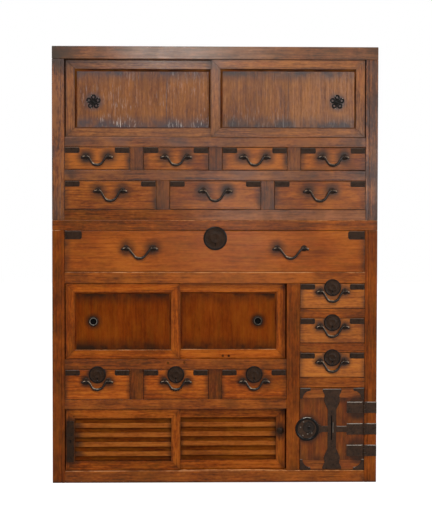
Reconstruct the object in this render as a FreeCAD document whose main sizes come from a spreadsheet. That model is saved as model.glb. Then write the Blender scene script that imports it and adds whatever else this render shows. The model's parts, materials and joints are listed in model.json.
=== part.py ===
import FreeCAD, Part
import math
import os
import re
import Sketcher

# Clothing chest in two stacked sections with iron fittings.
# The origin is at the centre of the base on the floor, +Z is up and the front faces -Y.

SIZES = {
    # case
    "case_width": 1091.0,
    "case_depth": 440.0,
    "side_board": 30.0,
    "stile_width": 41.0,
    "post_width": 44.0,
    "rail_depth": 56.0,
    "shelf_board": 12.0,
    "partition_board": 16.0,
    "back_board": 8.0,
    "guide_height": 18.0,
    "bearer_width": 60.0,
    # heights of the lower section, from the floor up
    "base_rail": 41.0,
    "slat_opening": 208.0,
    "low_rail": 33.0,
    "lock_row": 101.5,
    "sill_rail": 34.0,
    "panel_opening": 255.0,
    "mid_rail": 37.5,
    "robe_row": 140.5,
    "lower_top": 34.0,
    # heights of the column of three lock drawers beside the post
    "column_row": 85.0,
    "column_rail": 31.2,
    "column_sill": 34.0,
    # heights of the upper section
    "upper_base": 35.0,
    "wide_row": 97.5,
    "wide_rail": 34.5,
    "small_row": 77.5,
    "upper_sill": 33.0,
    "door_row": 259.5,
    "upper_top": 42.5,
    # clearance of every cut beyond the faces it opens
    "overrun": 1.0,
    # drawers
    "drawer_play": 0.8,
    "drawer_proud": 0.3,
    "drawer_length": 394.0,
    "drawer_front": 20.0,
    "drawer_board": 9.0,
    "drawer_bottom": 6.0,
    "drawer_top_drop": 4.0,
    "front_chamfer": 1.2,
    # sliding doors
    "door_recess": 6.0,
    "door_board": 18.0,
    "door_gap": 4.0,
    "door_play": 0.8,
    "door_side_gap": 3.0,
    "frame_bar": 28.0,
    "slat_frame_bar": 31.0,
    "panel_recess": 4.0,
    "panel_board": 8.0,
    "panel_play": 0.2,
    "slat_height": 16.0,
    "slat_board": 7.0,
    "slat_recess": 2.0,
    "groove_width": 9.0,
    "groove_play": 0.3,
    "sill_groove": 3.0,
    "head_groove": 8.0,
    "head_lift": 2.0,
    # hinged safe door
    "safe_play": 1.5,
    "safe_batten": 34.0,
    "safe_board": 22.0,
    # iron plates
    "iron_plate": 1.6,
    "corner_width": 49.0,
    "corner_height": 18.5,
    "robe_corner_width": 56.0,
    "robe_corner_height": 28.0,
    "corner_inset": 1.4,
    "lock_radius": 28.5,
    "lock_drop": 17.0,
    "robe_lock_radius": 40.0,
    "robe_lock_drop": 26.0,
    "lock_case_width": 52.0,
    "lock_case_height": 34.0,
    "lock_case_depth": 8.0,
    "lock_bolt_width": 14.0,
    "lock_bolt_rise": 3.0,
    # bail handles and their eyes
    "pin_radius": 2.5,
    "pin_play": 0.08,
    "eye_width": 5.0,
    "eye_end_gap": 0.5,
    "eye_standoff": 7.0,
    "washer_radius": 8.0,
    "small_span": 74.0,
    "wide_span": 82.0,
    "robe_span": 90.0,
    "small_drop": 28.0,
    "wide_drop": 34.0,
    "bail_bar": 5.0,
    "bail_neck": 3.7,
    "bail_knob": 4.4,
    "hump_radius": 8.0,
    "droop_radius": 15.0,
    "small_eye_drop": 31.5,
    "wide_eye_drop": 33.0,
    "robe_eye_drop": 59.0,
    "lock_eye_drop": 39.0,
    "column_eye_drop": 30.0,
    "column_lift": 2.0,
    "robe_bail_offset": 253.0,
    # pulls of the sliding doors
    "pull_plate": 1.8,
    "petal_reach": 16.0,
    "petal_radius": 9.0,
    "petal_core": 11.0,
    "petal_hole": 4.0,
    "flower_inset": 93.0,
    "flower_drop": 140.0,
    "cup_radius": 17.0,
    "cup_wall": 1.5,
    "cup_bore": 11.0,
    "cup_depth": 6.0,
    "cup_fit": 0.2,
    "cup_inset": 93.0,
    "cup_drop": 128.0,
    "bar_plate_width": 24.0,
    "bar_plate_height": 139.0,
    "bar_plate_sill": 28.0,
    "knob_radius": 12.0,
    "knob_drop": 77.0,
    # ironwork of the safe door
    "strap_width": 29.0,
    "strap_flare": 64.0,
    "strap_waist": 49.0,
    "strap_bead": 55.0,
    "strap_head": 70.0,
    "strap_inset": 3.0,
    "safe_lock_radius": 40.0,
    "safe_lock_inset": 24.0,
    "safe_lock_case": 60.0,
    "arm_height": 20.0,
    "safe_corner": 36.0,
    "safe_corner_web": 9.0,
    "hinge_height": 38.0,
    "hinge_reach": 60.0,
    "hinge_leaf": 1.6,
    "hinge_standoff": 4.0,
    "knuckle_radius": 3.6,
    "hinge_pin": 1.6,
    "hinge_fit": 0.06,
    "knuckle_gap": 0.4,
    "hinge_offset": 73.0,
}

QUARTER_TURN = 90
HALF_TURN = 180
FLOWER_PETALS = 5
PETAL_SIDES = 10
EYE_SIDES = 8
BORE_SIDES = 12
LOCK_SIDES = 20
WASHER_SIDES = 8
CUP_SIDES = 24
ROD_SIDES = 12
BAR_SIDES = 8
BAIL_SLOPE = math.radians(60)
ROBE_BAIL_SLOPE = math.radians(52)
DROOP_TURN = math.radians(40)
SLAT_COUNT = 4
LEFT_PLANK_SHARE = 0.675
RIGHT_PLANK_SHARE = 0.5
CORNER_CLIP_SHARE = 0.18
ARM_ROOT_SHARE = 0.5
# Outline of the safe strap's flared head: shares of the head's height, from its tip down.
STRAP_HEAD_SHARES = {"flare": 0.0, "flare_end": 0.1, "waist": 0.3, "bead": 0.55, "bead_end": 0.68}

os.makedirs("parts", exist_ok=True)
doc = FreeCAD.newDocument("clothing_chest")
sheet = doc.addObject("Spreadsheet::Sheet", "Sizes")
for row, (alias, value) in enumerate(SIZES.items(), start=1):
    sheet.set("A%d" % row, alias)
    sheet.set("B%d" % row, str(value))
    sheet.setAlias("B%d" % row, alias)
doc.recompute()

size = {alias: float(sheet.get(alias)) for alias in SIZES}
nodes = []
WORD = re.compile(r"[a-z_]+")


# Helpers: expressions name the sheet's cells, and each helper adds one bound object.

def bind(item, prop, text):
    """Bind a property to the sheet, where each size named in the text is a cell."""
    item.setExpression(prop, WORD.sub(lambda word: "Sizes." + word[0] if word[0] in SIZES else word[0], text))


def place(item, x="0", y="0", z="0"):
    for axis, text in zip("xyz", (x, y, z)):
        bind(item, "Placement.Base." + axis, text)
    return item


def turn(item, axis, degrees):
    item.Placement.Rotation = FreeCAD.Rotation(FreeCAD.Vector(*axis), degrees)
    return item


def board(x, y, z):
    """A sawn board between the given planes, each pair an expression for low and high."""
    item = doc.addObject("Part::Box", "Board")
    for prop, (low, high) in zip(("Length", "Width", "Height"), (x, y, z)):
        bind(item, prop, "(%s) - (%s)" % (high, low))
    return place(item, x[0], y[0], z[0])


def disc(radius, thickness, sides=None):
    """A flat round or many-sided plate that lies in XZ and rises from y = 0 towards the front."""
    item = doc.addObject("Part::Prism" if sides else "Part::Cylinder", "Disc")
    if sides:
        item.Polygon = sides
        bind(item, "Circumradius", radius)
    else:
        bind(item, "Radius", radius)
    bind(item, "Height", thickness)
    return turn(item, (1, 0, 0), QUARTER_TURN)


def cut(base, tool):
    item = doc.addObject("Part::Cut", "Cut")
    item.Base = base
    item.Tool = tool
    return item


def fuse(pieces):
    item = doc.addObject("Part::MultiFuse", "Fuse")
    item.Shapes = pieces
    item.Refine = True
    return item


def shaped(shape):
    """A piece whose outline is drawn from the sheet's sizes."""
    item = doc.addObject("Part::Feature", "Shaped")
    item.Shape = shape
    return item


def outline_plate(points, thickness):
    """A flat plate from (x, z) points, rising from y = 0 towards the front."""
    wire = Part.makePolygon([FreeCAD.Vector(x, 0, z) for x, z in points + points[:1]])
    return Part.Face(wire).extrude(FreeCAD.Vector(0, -thickness, 0))


def node(label, pieces):
    """Gather the separate solids of one sub-part under its own name."""
    item = doc.addObject("Part::Compound", label)
    item.Links = pieces
    item.Label = label
    nodes.append(item)
    return item


# Planes of the case.

FRONT = "-case_depth / 2"
BACK = "case_depth / 2"
LEFT = "(-case_width / 2)"
RIGHT = "(case_width / 2)"
IN_LEFT = "(-case_width / 2 + stile_width)"
IN_RIGHT = "(case_width / 2 - stile_width)"
WALL_LEFT = "(-case_width / 2 + side_board)"
WALL_RIGHT = "(case_width / 2 - side_board)"
RAIL_BACK = "-case_depth / 2 + rail_depth"
INNER_BACK = "case_depth / 2 - back_board"
SMALL_WIDTH = "((case_width - 2 * stile_width - 3 * post_width) / 4)"
WIDE_WIDTH = "((case_width - 2 * stile_width - 2 * post_width) / 3)"
POST_RIGHT = "(%s - %s)" % (IN_RIGHT, SMALL_WIDTH)
POST_LEFT = "(%s - post_width)" % POST_RIGHT

SLAT_SILL = "(base_rail)"
SLAT_HEAD = "(%s + slat_opening)" % SLAT_SILL
LOCK_SILL = "(%s + low_rail)" % SLAT_HEAD
LOCK_HEAD = "(%s + lock_row)" % LOCK_SILL
PANEL_SILL = "(%s + sill_rail)" % LOCK_HEAD
PANEL_HEAD = "(%s + panel_opening)" % PANEL_SILL
ROBE_SILL = "(%s + mid_rail)" % PANEL_HEAD
ROBE_HEAD = "(%s + robe_row)" % ROBE_SILL
SPLIT = "(%s + lower_top)" % ROBE_HEAD
COLUMN_SILLS = ["(%s - %d * column_row - %d * column_rail)" % (PANEL_HEAD, i + 1, i) for i in range(3)]
SAFE_HEAD = "(%s - column_sill)" % COLUMN_SILLS[2]
WIDE_SILL = "(%s + upper_base)" % SPLIT
WIDE_HEAD = "(%s + wide_row)" % WIDE_SILL
SMALL_SILL = "(%s + wide_rail)" % WIDE_HEAD
SMALL_HEAD = "(%s + small_row)" % SMALL_SILL
DOOR_SILL = "(%s + upper_sill)" % SMALL_HEAD
DOOR_HEAD = "(%s + door_row)" % DOOR_SILL
TOP = "(%s + upper_top)" % DOOR_HEAD

FRONT_TRACK = "(%s + door_recess)" % FRONT
REAR_TRACK = "(%s + door_recess + door_board + door_gap)" % FRONT
TRACKS = (FRONT_TRACK, REAR_TRACK)


def small_left(i):
    return "(%s + %d * (%s + post_width))" % (IN_LEFT, i, SMALL_WIDTH)


def wide_left(i):
    return "(%s + %d * (%s + post_width))" % (IN_LEFT, i, WIDE_WIDTH)


# Case.

def track_grooves(x, face, depth, upwards):
    """The two grooves in which a pair of sliding doors runs."""
    grooves = []
    for track in TRACKS:
        middle = "%s + door_board / 2" % track
        y = ("%s - groove_width / 2" % middle, "%s + groove_width / 2" % middle)
        if upwards:
            z = ("%s - overrun" % face, "%s + %s" % (face, depth))
        else:
            z = ("%s - %s" % (face, depth), "%s + overrun" % face)
        grooves.append(board(x, y, z))
    return fuse(grooves)


def rail(x, z, sill_x=None, head_x=None):
    """A front rail, grooved above for doors that stand on it and below for doors that hang under it."""
    item = board(x, (FRONT, RAIL_BACK), z)
    if sill_x:
        item = cut(item, track_grooves(sill_x, z[1], "sill_groove", False))
    if head_x:
        item = cut(item, track_grooves(head_x, z[0], "head_groove", True))
    return item


def shelf(x, top):
    return board(x, (RAIL_BACK, INNER_BACK), ("%s - shelf_board" % top, top))


def guide(x, sill):
    """A strip beside a drawer, between the case wall and the drawer's side."""
    return board(x, (RAIL_BACK, INNER_BACK), (sill, "%s + guide_height" % sill))


def partition(left, sill, head, guide_sills):
    """A post with a thinner board behind it and a guide strip on each side for every drawer."""
    right = "%s + post_width" % left
    thin_left = "%s + post_width / 2 - partition_board / 2" % left
    thin_right = "%s + post_width / 2 + partition_board / 2" % left
    pieces = [board((left, right), (FRONT, RAIL_BACK), (sill, head))]
    pieces.append(board((thin_left, thin_right), (RAIL_BACK, INNER_BACK), (sill, "%s - shelf_board" % head)))
    for side, guide_sill in guide_sills:
        x = (left, thin_left) if side == "left" else (thin_right, right)
        pieces.append(guide(x, guide_sill))
    return pieces


def shell(floor, head):
    """Side boards with their front strips and the back of one section."""
    y = (FRONT, BACK)
    return [
        board((LEFT, WALL_LEFT), y, (floor, head)),
        board((WALL_RIGHT, RIGHT), y, (floor, head)),
        board((WALL_LEFT, IN_LEFT), (FRONT, RAIL_BACK), (floor, head)),
        board((IN_RIGHT, WALL_RIGHT), (FRONT, RAIL_BACK), (floor, head)),
        board((WALL_LEFT, WALL_RIGHT), (INNER_BACK, BACK), (floor, head)),
    ]


def lower_case():
    across = (IN_LEFT, IN_RIGHT)
    left_part = (IN_LEFT, POST_LEFT)
    column = (POST_RIGHT, IN_RIGHT)
    walls = (WALL_LEFT, WALL_RIGHT)
    post_board_left = "%s + post_width / 2 - partition_board / 2" % POST_LEFT
    post_board_right = "%s + post_width / 2 + partition_board / 2" % POST_LEFT
    pieces = shell("0", ROBE_HEAD)
    pieces.append(board((LEFT, RIGHT), (FRONT, BACK), (ROBE_HEAD, SPLIT)))
    pieces.append(rail(across, ("0", SLAT_SILL), sill_x=left_part))
    pieces.append(rail(left_part, (SLAT_HEAD, LOCK_SILL), head_x=left_part))
    pieces.append(rail(left_part, (LOCK_HEAD, PANEL_SILL), sill_x=left_part))
    pieces.append(rail(across, (PANEL_HEAD, ROBE_SILL), head_x=left_part))
    for sill, head in zip(COLUMN_SILLS[1:], COLUMN_SILLS[:2]):
        pieces.append(rail(column, ("%s - column_rail" % head, head)))
    pieces.append(rail(column, (SAFE_HEAD, COLUMN_SILLS[2])))
    pieces.append(shelf(walls, SLAT_SILL))
    pieces.append(board(("-bearer_width / 2", "bearer_width / 2"), (RAIL_BACK, INNER_BACK),
                        ("0", "%s - shelf_board" % SLAT_SILL)))
    pieces.append(shelf(walls, ROBE_SILL))
    for sill in (LOCK_SILL, PANEL_SILL):
        pieces.append(shelf((WALL_LEFT, post_board_left), sill))
    for sill in COLUMN_SILLS:
        pieces.append(shelf((post_board_right, WALL_RIGHT), sill))
    lock_guides = [("left", LOCK_SILL)] + [("right", sill) for sill in COLUMN_SILLS]
    pieces.append(board((POST_LEFT, POST_RIGHT), (FRONT, RAIL_BACK), (SLAT_SILL, PANEL_HEAD)))
    pieces.append(board((post_board_left, post_board_right), (RAIL_BACK, INNER_BACK),
                        (SLAT_SILL, "%s - shelf_board" % ROBE_SILL)))
    for side, sill in lock_guides:
        x = (POST_LEFT, post_board_left) if side == "left" else (post_board_right, POST_RIGHT)
        pieces.append(guide(x, sill))
    for i in range(2):
        left = "%s + %s" % (small_left(i), SMALL_WIDTH)
        pieces += partition(left, LOCK_SILL, LOCK_HEAD, [("left", LOCK_SILL), ("right", LOCK_SILL)])
    for sill in (LOCK_SILL, ROBE_SILL):
        pieces.append(guide((WALL_LEFT, IN_LEFT), sill))
    for sill in COLUMN_SILLS + [ROBE_SILL]:
        pieces.append(guide((IN_RIGHT, WALL_RIGHT), sill))
    node("lower_case", pieces)


def upper_case():
    across = (IN_LEFT, IN_RIGHT)
    walls = (WALL_LEFT, WALL_RIGHT)
    pieces = shell(SPLIT, DOOR_HEAD)
    top_board = board((LEFT, RIGHT), (FRONT, BACK), (DOOR_HEAD, TOP))
    pieces.append(cut(top_board, track_grooves(across, DOOR_HEAD, "head_groove", True)))
    pieces.append(rail(across, (SPLIT, WIDE_SILL)))
    pieces.append(rail(across, (WIDE_HEAD, SMALL_SILL)))
    pieces.append(rail(across, (SMALL_HEAD, DOOR_SILL), sill_x=across))
    for sill in (WIDE_SILL, SMALL_SILL, DOOR_SILL):
        pieces.append(shelf(walls, sill))
    for sill in (WIDE_SILL, SMALL_SILL):
        pieces.append(guide((WALL_LEFT, IN_LEFT), sill))
        pieces.append(guide((IN_RIGHT, WALL_RIGHT), sill))
    for i in range(3):
        left = "%s + %s" % (small_left(i), SMALL_WIDTH)
        head = "%s + upper_sill" % SMALL_HEAD
        pieces += partition_under(left, SMALL_SILL, SMALL_HEAD, head)
    for i in range(2):
        left = "%s + %s" % (wide_left(i), WIDE_WIDTH)
        head = "%s + wide_rail" % WIDE_HEAD
        pieces += partition_under(left, WIDE_SILL, WIDE_HEAD, head)
    node("upper_case", pieces)


def partition_under(left, sill, head, shelf_top):
    """A partition whose thin board reaches up to the shelf behind the rail above."""
    pieces = partition(left, sill, head, [("left", sill), ("right", sill)])
    bind(pieces[1], "Height", "(%s - shelf_board) - (%s)" % (shelf_top, sill))
    return pieces


# Drawers and their ironwork.

def drawer_front(x, z):
    """A front board with chamfered front edges, padded from a sketch of its outline."""
    body = doc.addObject("PartDesign::Body", "Front")
    plane = next(item for item in body.Origin.OriginFeatures if item.Role == "XZ_Plane")
    sketch = body.newObject("Sketcher::SketchObject", "Outline")
    sketch.AttachmentSupport = (plane, "")
    sketch.MapMode = "FlatFace"
    corners = [FreeCAD.Vector(*point) for point in ((0, 0, 0), (1, 0, 0), (1, 1, 0), (0, 1, 0))]
    for i in range(4):
        sketch.addGeometry(Part.LineSegment(corners[i], corners[(i + 1) % 4]), False)
    for i in range(4):
        sketch.addConstraint(Sketcher.Constraint("Coincident", i, 2, (i + 1) % 4, 1))
    for i, kind in enumerate(("Horizontal", "Vertical", "Horizontal", "Vertical")):
        sketch.addConstraint(Sketcher.Constraint(kind, i))
    sketch.addConstraint(Sketcher.Constraint("Coincident", 0, 1, -1, 1))
    wide = sketch.addConstraint(Sketcher.Constraint("DistanceX", 0, 1, 0, 2, size["corner_width"]))
    tall = sketch.addConstraint(Sketcher.Constraint("DistanceY", 1, 1, 1, 2, size["corner_width"]))
    bind(sketch, "Constraints[%d]" % wide, "(%s) - (%s)" % (x[1], x[0]))
    bind(sketch, "Constraints[%d]" % tall, "(%s) - (%s)" % (z[1], z[0]))
    pad = body.newObject("PartDesign::Pad", "Thickness")
    pad.Profile = sketch
    bind(pad, "Length", "drawer_front")
    doc.recompute()
    front = min(range(len(pad.Shape.Faces)), key=lambda i: pad.Shape.Faces[i].CenterOfMass.y)
    chamfer = body.newObject("PartDesign::Chamfer", "Chamfer")
    chamfer.Base = (pad, ["Face%d" % (front + 1)])
    bind(chamfer, "Size", "front_chamfer")
    body.Tip = chamfer
    return place(body, x[0], "%s - drawer_proud + drawer_front" % FRONT, z[0])


def drawer_box(label, left, width, sill, row):
    """Front, two sides, back and bottom board of one drawer."""
    x = ("%s + drawer_play" % left, "%s + %s - drawer_play" % (left, width))
    z = ("%s + drawer_play" % sill, "%s + %s - drawer_play" % (sill, row))
    face = "%s - drawer_proud" % FRONT
    behind = "%s + drawer_front" % face
    end = "%s + drawer_length" % face
    wall_top = "%s - drawer_top_drop" % z[1]
    floor_top = "%s + drawer_bottom" % z[0]
    inner = ("%s + drawer_board" % x[0], "%s - drawer_board" % x[1])
    node(label + "_box", [
        drawer_front(x, z),
        board((x[0], inner[0]), (behind, end), (z[0], wall_top)),
        board((inner[1], x[1]), (behind, end), (z[0], wall_top)),
        board(inner, ("%s - drawer_board" % end, end), (floor_top, wall_top)),
        board(inner, (behind, end), (z[0], floor_top)),
    ])
    return x, z, face


def corner_plate(width, height):
    """An iron corner plate whose inner end is clipped, from its outer top corner."""
    w, h = size[width], size[height]
    clip = h * CORNER_CLIP_SHARE
    return outline_plate([(0, 0), (0, -h), (w - clip, -h), (w, -h + clip), (w, -clip), (w - clip, 0)],
                         size["iron_plate"])


def eye(x, face, z):
    """A washer and the ring that stands on it, bored for the bail's pin."""
    apothem = "(eye_standoff - iron_plate)"
    washer = place(disc("washer_radius", "iron_plate", WASHER_SIDES), x, face, z)
    ring = doc.addObject("Part::Prism", "Ring")
    ring.Polygon = EYE_SIDES
    bind(ring, "Circumradius", "%s / cos(180 deg / %d)" % (apothem, EYE_SIDES))
    bind(ring, "Height", "eye_width")
    bore = doc.addObject("Part::Prism", "Bore")
    bore.Polygon = BORE_SIDES
    bind(bore, "Circumradius", "(pin_radius + pin_play) / cos(180 deg / %d)" % BORE_SIDES)
    bind(bore, "Height", "eye_width + 2 * overrun")
    for item, sides, extra in ((ring, EYE_SIDES, "0"), (bore, BORE_SIDES, "overrun")):
        flat_down = FreeCAD.Rotation(FreeCAD.Vector(0, 0, 1), HALF_TURN / sides)
        item.Placement.Rotation = FreeCAD.Rotation(FreeCAD.Vector(0, 1, 0), QUARTER_TURN).multiply(flat_down)
        place(item, "%s - eye_width / 2 - %s" % (x, extra), "%s - eye_standoff" % face, z)
    return [washer, cut(ring, bore)]


def drawer_ironwork(label, x, z, face, bail_places, span, eye_drop, corner, lock):
    """Corner plates, the eyes of the bails and, where the drawer locks, a round lock plate."""
    width, height = corner
    top = "%s - corner_inset" % z[1]
    left = shaped(corner_plate(width, height))
    place(left, "%s + corner_inset" % x[0], face, top)
    right = shaped(corner_plate(width, height).mirror(FreeCAD.Vector(0, 0, 0), FreeCAD.Vector(1, 0, 0)))
    place(right, "%s - corner_inset" % x[1], face, top)
    pieces = [left, right]
    for centre in bail_places:
        for side in ("-", "+"):
            pieces += eye("%s %s %s / 2" % (centre, side, span), face, "%s - %s" % (z[1], eye_drop))
    if lock:
        radius, drop, centre = lock
        pieces.append(place(disc(radius, "iron_plate", LOCK_SIDES), centre, face, "%s - %s" % (z[1], drop)))
        pieces += lock_case(centre, "%s + drawer_front" % face, "%s - drawer_top_drop" % z[1])
    node(label + "_ironwork", pieces)


def lock_case(centre, back, top):
    """The iron lock behind a drawer front, with its bolt drawn down."""
    y = (back, "%s + lock_case_depth" % back)
    case_x = tuple("%s %s lock_case_width / 2" % (centre, sign) for sign in "-+")
    bolt_x = tuple("%s %s lock_bolt_width / 2" % (centre, sign) for sign in "-+")
    return [board(case_x, y, ("%s - lock_case_height" % top, top)),
            board(bolt_x, y, (top, "%s + lock_bolt_rise" % top))]


def bail_stations(span, drop, slope):
    """Centre line of half a bail from its lowest point out to its knob, with the bar's radius."""
    hump = size["hump_radius"]
    pin_end = size["eye_width"] / 2 + size["eye_end_gap"]
    inner = span / 2 - pin_end
    sine, cosine = math.sin(slope), math.cos(slope)
    lift = (1 - cosine) / math.tan(slope)
    belly = (inner - drop / math.tan(slope)) / (sine - lift) - hump
    bar, neck, pin, knob = (size[name] for name in ("bail_bar", "bail_neck", "pin_radius", "bail_knob"))
    stations = []
    for share in (0, 0.5, 1):
        angle = slope * share
        stations.append((belly * math.sin(angle), -drop + belly * (1 - math.cos(angle)), angle,
                         bar + (neck - bar) * share / 2))
    for share in (0, 0.5, 1):
        angle = slope * (1 - share)
        stations.append((inner - hump * math.sin(angle), -hump * (1 - math.cos(angle)), angle,
                         neck + (pin - neck) * share))
    outer = span / 2 + pin_end
    droop = size["droop_radius"]
    for share in (0, 0.5, 1):
        angle = -DROOP_TURN * share
        stations.append((outer - droop * math.sin(angle), -droop * (1 - math.cos(angle)), angle,
                         pin + (knob - pin) * share))
    tip_x, tip_z, tip_angle, tip_radius = stations[-1]
    stations.append((tip_x + knob * math.cos(tip_angle), tip_z + knob * math.sin(tip_angle),
                     tip_angle, tip_radius / 2))
    return stations


def bail_shape(span, drop, slope=BAIL_SLOPE):
    """A forged bail: an eight-sided bar, thickest at its middle, that humps over each eye."""
    half = bail_stations(span, drop, slope)
    rows = [(-x, z, -angle, radius) for x, z, angle, radius in reversed(half[1:])] + half
    rings = []
    for x, z, angle, radius in rows:
        across = FreeCAD.Vector(-math.sin(angle), 0, math.cos(angle))
        ring = []
        for side in range(BAR_SIDES):
            around = 2 * math.pi * (side + 0.5) / BAR_SIDES
            ring.append(FreeCAD.Vector(x, 0, z) + across * (radius * math.cos(around))
                        + FreeCAD.Vector(0, radius * math.sin(around), 0))
        rings.append(ring)
    faces = [flat_face(rings[0]), flat_face(rings[-1])]
    for ring, following in zip(rings[:-1], rings[1:]):
        for side in range(BAR_SIDES):
            beside = (side + 1) % BAR_SIDES
            faces.append(flat_face([ring[side], ring[beside], following[side]]))
            faces.append(flat_face([ring[beside], following[beside], following[side]]))
    solid = Part.Solid(Part.Shell(faces))
    return solid if solid.Volume > 0 else solid.reversed()


def flat_face(points):
    return Part.Face(Part.makePolygon(points + points[:1]))


def bail(label, centre, face, z, shape):
    item = shaped(shape)
    place(item, centre, "%s - eye_standoff" % face, z)
    node(label, [item])


SMALL_BAIL = bail_shape(size["small_span"], size["small_drop"])
WIDE_BAIL = bail_shape(size["wide_span"], size["wide_drop"])
ROBE_BAIL = bail_shape(size["robe_span"], size["wide_drop"], ROBE_BAIL_SLOPE)


def drawer(label, left, width, sill, row, span, shape, eye_drop, lock_drop=None):
    """One drawer with a single bail in its middle."""
    x, z, face = drawer_box(label, left, width, sill, row)
    centre = "%s + %s / 2" % (left, width)
    plate = ("lock_radius", lock_drop, centre) if lock_drop else None
    drawer_ironwork(label, x, z, face, [centre], span, eye_drop, ("corner_width", "corner_height"), plate)
    bail(label + "_bail", centre, face, "%s - %s" % (z[1], eye_drop), shape)


def robe_drawer():
    """The full-width drawer with two bails and a large lock plate."""
    width = "(case_width - 2 * stile_width)"
    x, z, face = drawer_box("robe_drawer", IN_LEFT, width, ROBE_SILL, "robe_row")
    centres = {"left": "-robe_bail_offset", "right": "robe_bail_offset"}
    drawer_ironwork("robe_drawer", x, z, face, list(centres.values()), "robe_span", "robe_eye_drop",
                    ("robe_corner_width", "robe_corner_height"), ("robe_lock_radius", "robe_lock_drop", "0"))
    for side, centre in centres.items():
        bail("robe_drawer_%s_bail" % side, centre, face, "%s - robe_eye_drop" % z[1], ROBE_BAIL)


# Sliding doors.

def mitred_bars(wide, tall, bar):
    """Four bars with mitred ends round an open middle, from the lower left corner."""
    outer = [(0, 0), (wide, 0), (wide, tall), (0, tall)]
    inner = [(bar, bar), (wide - bar, bar), (wide - bar, tall - bar), (bar, tall - bar)]
    bars = []
    for i in range(4):
        j = (i + 1) % 4
        bars.append(outline_plate([outer[i], outer[j], inner[j], inner[i]], size["door_board"]))
    return bars


def door_frame(x, z, face, bar, groove_bars):
    """Four mitred bars and the two tongues that run in the grooves."""
    back = "%s + door_board" % face
    envelope = board(x, (face, back), z)
    doc.recompute()
    bars = mitred_bars(envelope.Length.Value, envelope.Height.Value, size[bar])
    doc.removeObject(envelope.Name)
    pieces = [place(shaped(shape), x[0], back, z[0]) for shape in bars]
    middle = "%s + door_board / 2" % face
    half = "(groove_width / 2 - groove_play)"
    y = ("%s - %s" % (middle, half), "%s + %s" % (middle, half))
    sill, head = groove_bars
    pieces.append(board(x, y, ("%s - sill_groove + groove_play" % sill, z[0])))
    pieces.append(board(x, y, (z[1], "%s + head_groove - head_lift" % head)))
    return pieces


def door_bounds(side, opening, sill, head, bar):
    """The door's outer planes: half the opening, plus half a bar where the two doors overlap."""
    left, right = opening
    width = "((%s - %s + %s) / 2 - door_side_gap)" % (right, left, bar)
    start = "%s + door_side_gap" % left if side == "left" else "%s - door_side_gap - %s" % (right, width)
    x = (start, "%s + %s" % (start, width))
    z = ("%s + door_play" % sill, "%s - door_play" % head)
    return x, z


def panel_door(label, side, opening, sill, head, track, plank_shares):
    """A frame round a panel of upright planks; a door with one plank has a hole for its cup pull."""
    x, z = door_bounds(side, opening, sill, head, "frame_bar")
    pieces = door_frame(x, z, track, "frame_bar", (sill, head))
    y = ("%s + panel_recess" % track, "%s + panel_recess + panel_board" % track)
    inner_left = "(%s + frame_bar + panel_play)" % x[0]
    inner_width = "((%s) - (%s) - 2 * frame_bar - 2 * panel_play)" % (x[1], x[0])
    inner_z = ("%s + frame_bar + panel_play" % z[0], "%s - frame_bar - panel_play" % z[1])
    edges = [0] + plank_shares + [1]
    for start, end in zip(edges[:-1], edges[1:]):
        planks = tuple("%s + %s * %s" % (inner_left, share, inner_width) for share in (start, end))
        pieces.append(board(planks, y, inner_z))
    if not plank_shares:
        pull_x = "%s + cup_inset" % x[0] if side == "left" else "%s - cup_inset" % x[1]
        pieces[-1] = cut(pieces[-1], cup_seat(pull_x, "%s - cup_drop" % z[1], y[0]))
    node(label, pieces)
    return x, z


def slat_door(label, side, opening, sill, head, track):
    x, z = door_bounds(side, opening, sill, head, "slat_frame_bar")
    pieces = door_frame(x, z, track, "slat_frame_bar", (sill, head))
    inner_x = ("%s + slat_frame_bar + panel_play" % x[0], "%s - slat_frame_bar - panel_play" % x[1])
    low = "(%s + slat_frame_bar)" % z[0]
    pitch = "(((%s) - (%s) - 2 * slat_frame_bar - slat_height * %d) / %d + slat_height)" % (
        z[1], z[0], SLAT_COUNT, SLAT_COUNT + 1)
    slat_face = "%s + slat_recess" % track
    slat_back = "%s + slat_board" % slat_face
    for i in range(SLAT_COUNT):
        bottom = "%s + %d * %s - slat_height" % (low, i + 1, pitch)
        pieces.append(board(inner_x, (slat_face, slat_back), (bottom, "%s + slat_height" % bottom)))
    pieces.append(board(inner_x, (slat_back, "%s + panel_board / 2" % slat_back),
                        ("%s + panel_play" % low, "%s - slat_frame_bar - panel_play" % z[1])))
    node(label, pieces)
    return x, z


def flower_pull(label, x, z, face):
    """A flat pierced rosette."""
    petals = [disc("petal_core", "pull_plate", PETAL_SIDES)]
    holes = []
    for i in range(FLOWER_PETALS):
        angle = "%d deg" % (QUARTER_TURN + 2 * HALF_TURN * i // FLOWER_PETALS)
        petal = place(disc("petal_radius", "pull_plate", PETAL_SIDES),
                      "petal_reach * cos(%s)" % angle, "0", "petal_reach * sin(%s)" % angle)
        hole = place(disc("petal_hole", "pull_plate + 2 * overrun", EYE_SIDES),
                     "petal_reach * cos(%s)" % angle, "overrun", "petal_reach * sin(%s)" % angle)
        petals.append(petal)
        holes.append(hole)
    flower = cut(fuse(petals), fuse(holes))
    node(label, [place(flower, x, face, z)])


def cup_pull(label, x, z, face):
    """A round finger pull: a flange on the panel and a cup sunk into it."""
    flange = disc("cup_radius", "pull_plate", CUP_SIDES)
    cup = place(disc("cup_bore + cup_wall", "cup_depth", CUP_SIDES), y="cup_depth")
    hollow = place(disc("cup_bore", "cup_depth - cup_wall + pull_plate + overrun", CUP_SIDES),
                   y="cup_depth - cup_wall")
    node(label, [place(cut(fuse([flange, cup]), hollow), x, face, z)])


def cup_seat(x, z, face):
    """The hole in a door panel that takes the cup of its finger pull."""
    return place(disc("cup_bore + cup_wall + cup_fit", "panel_board + 2 * overrun", CUP_SIDES),
                 x, "%s + panel_board + overrun" % face, z)


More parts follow.
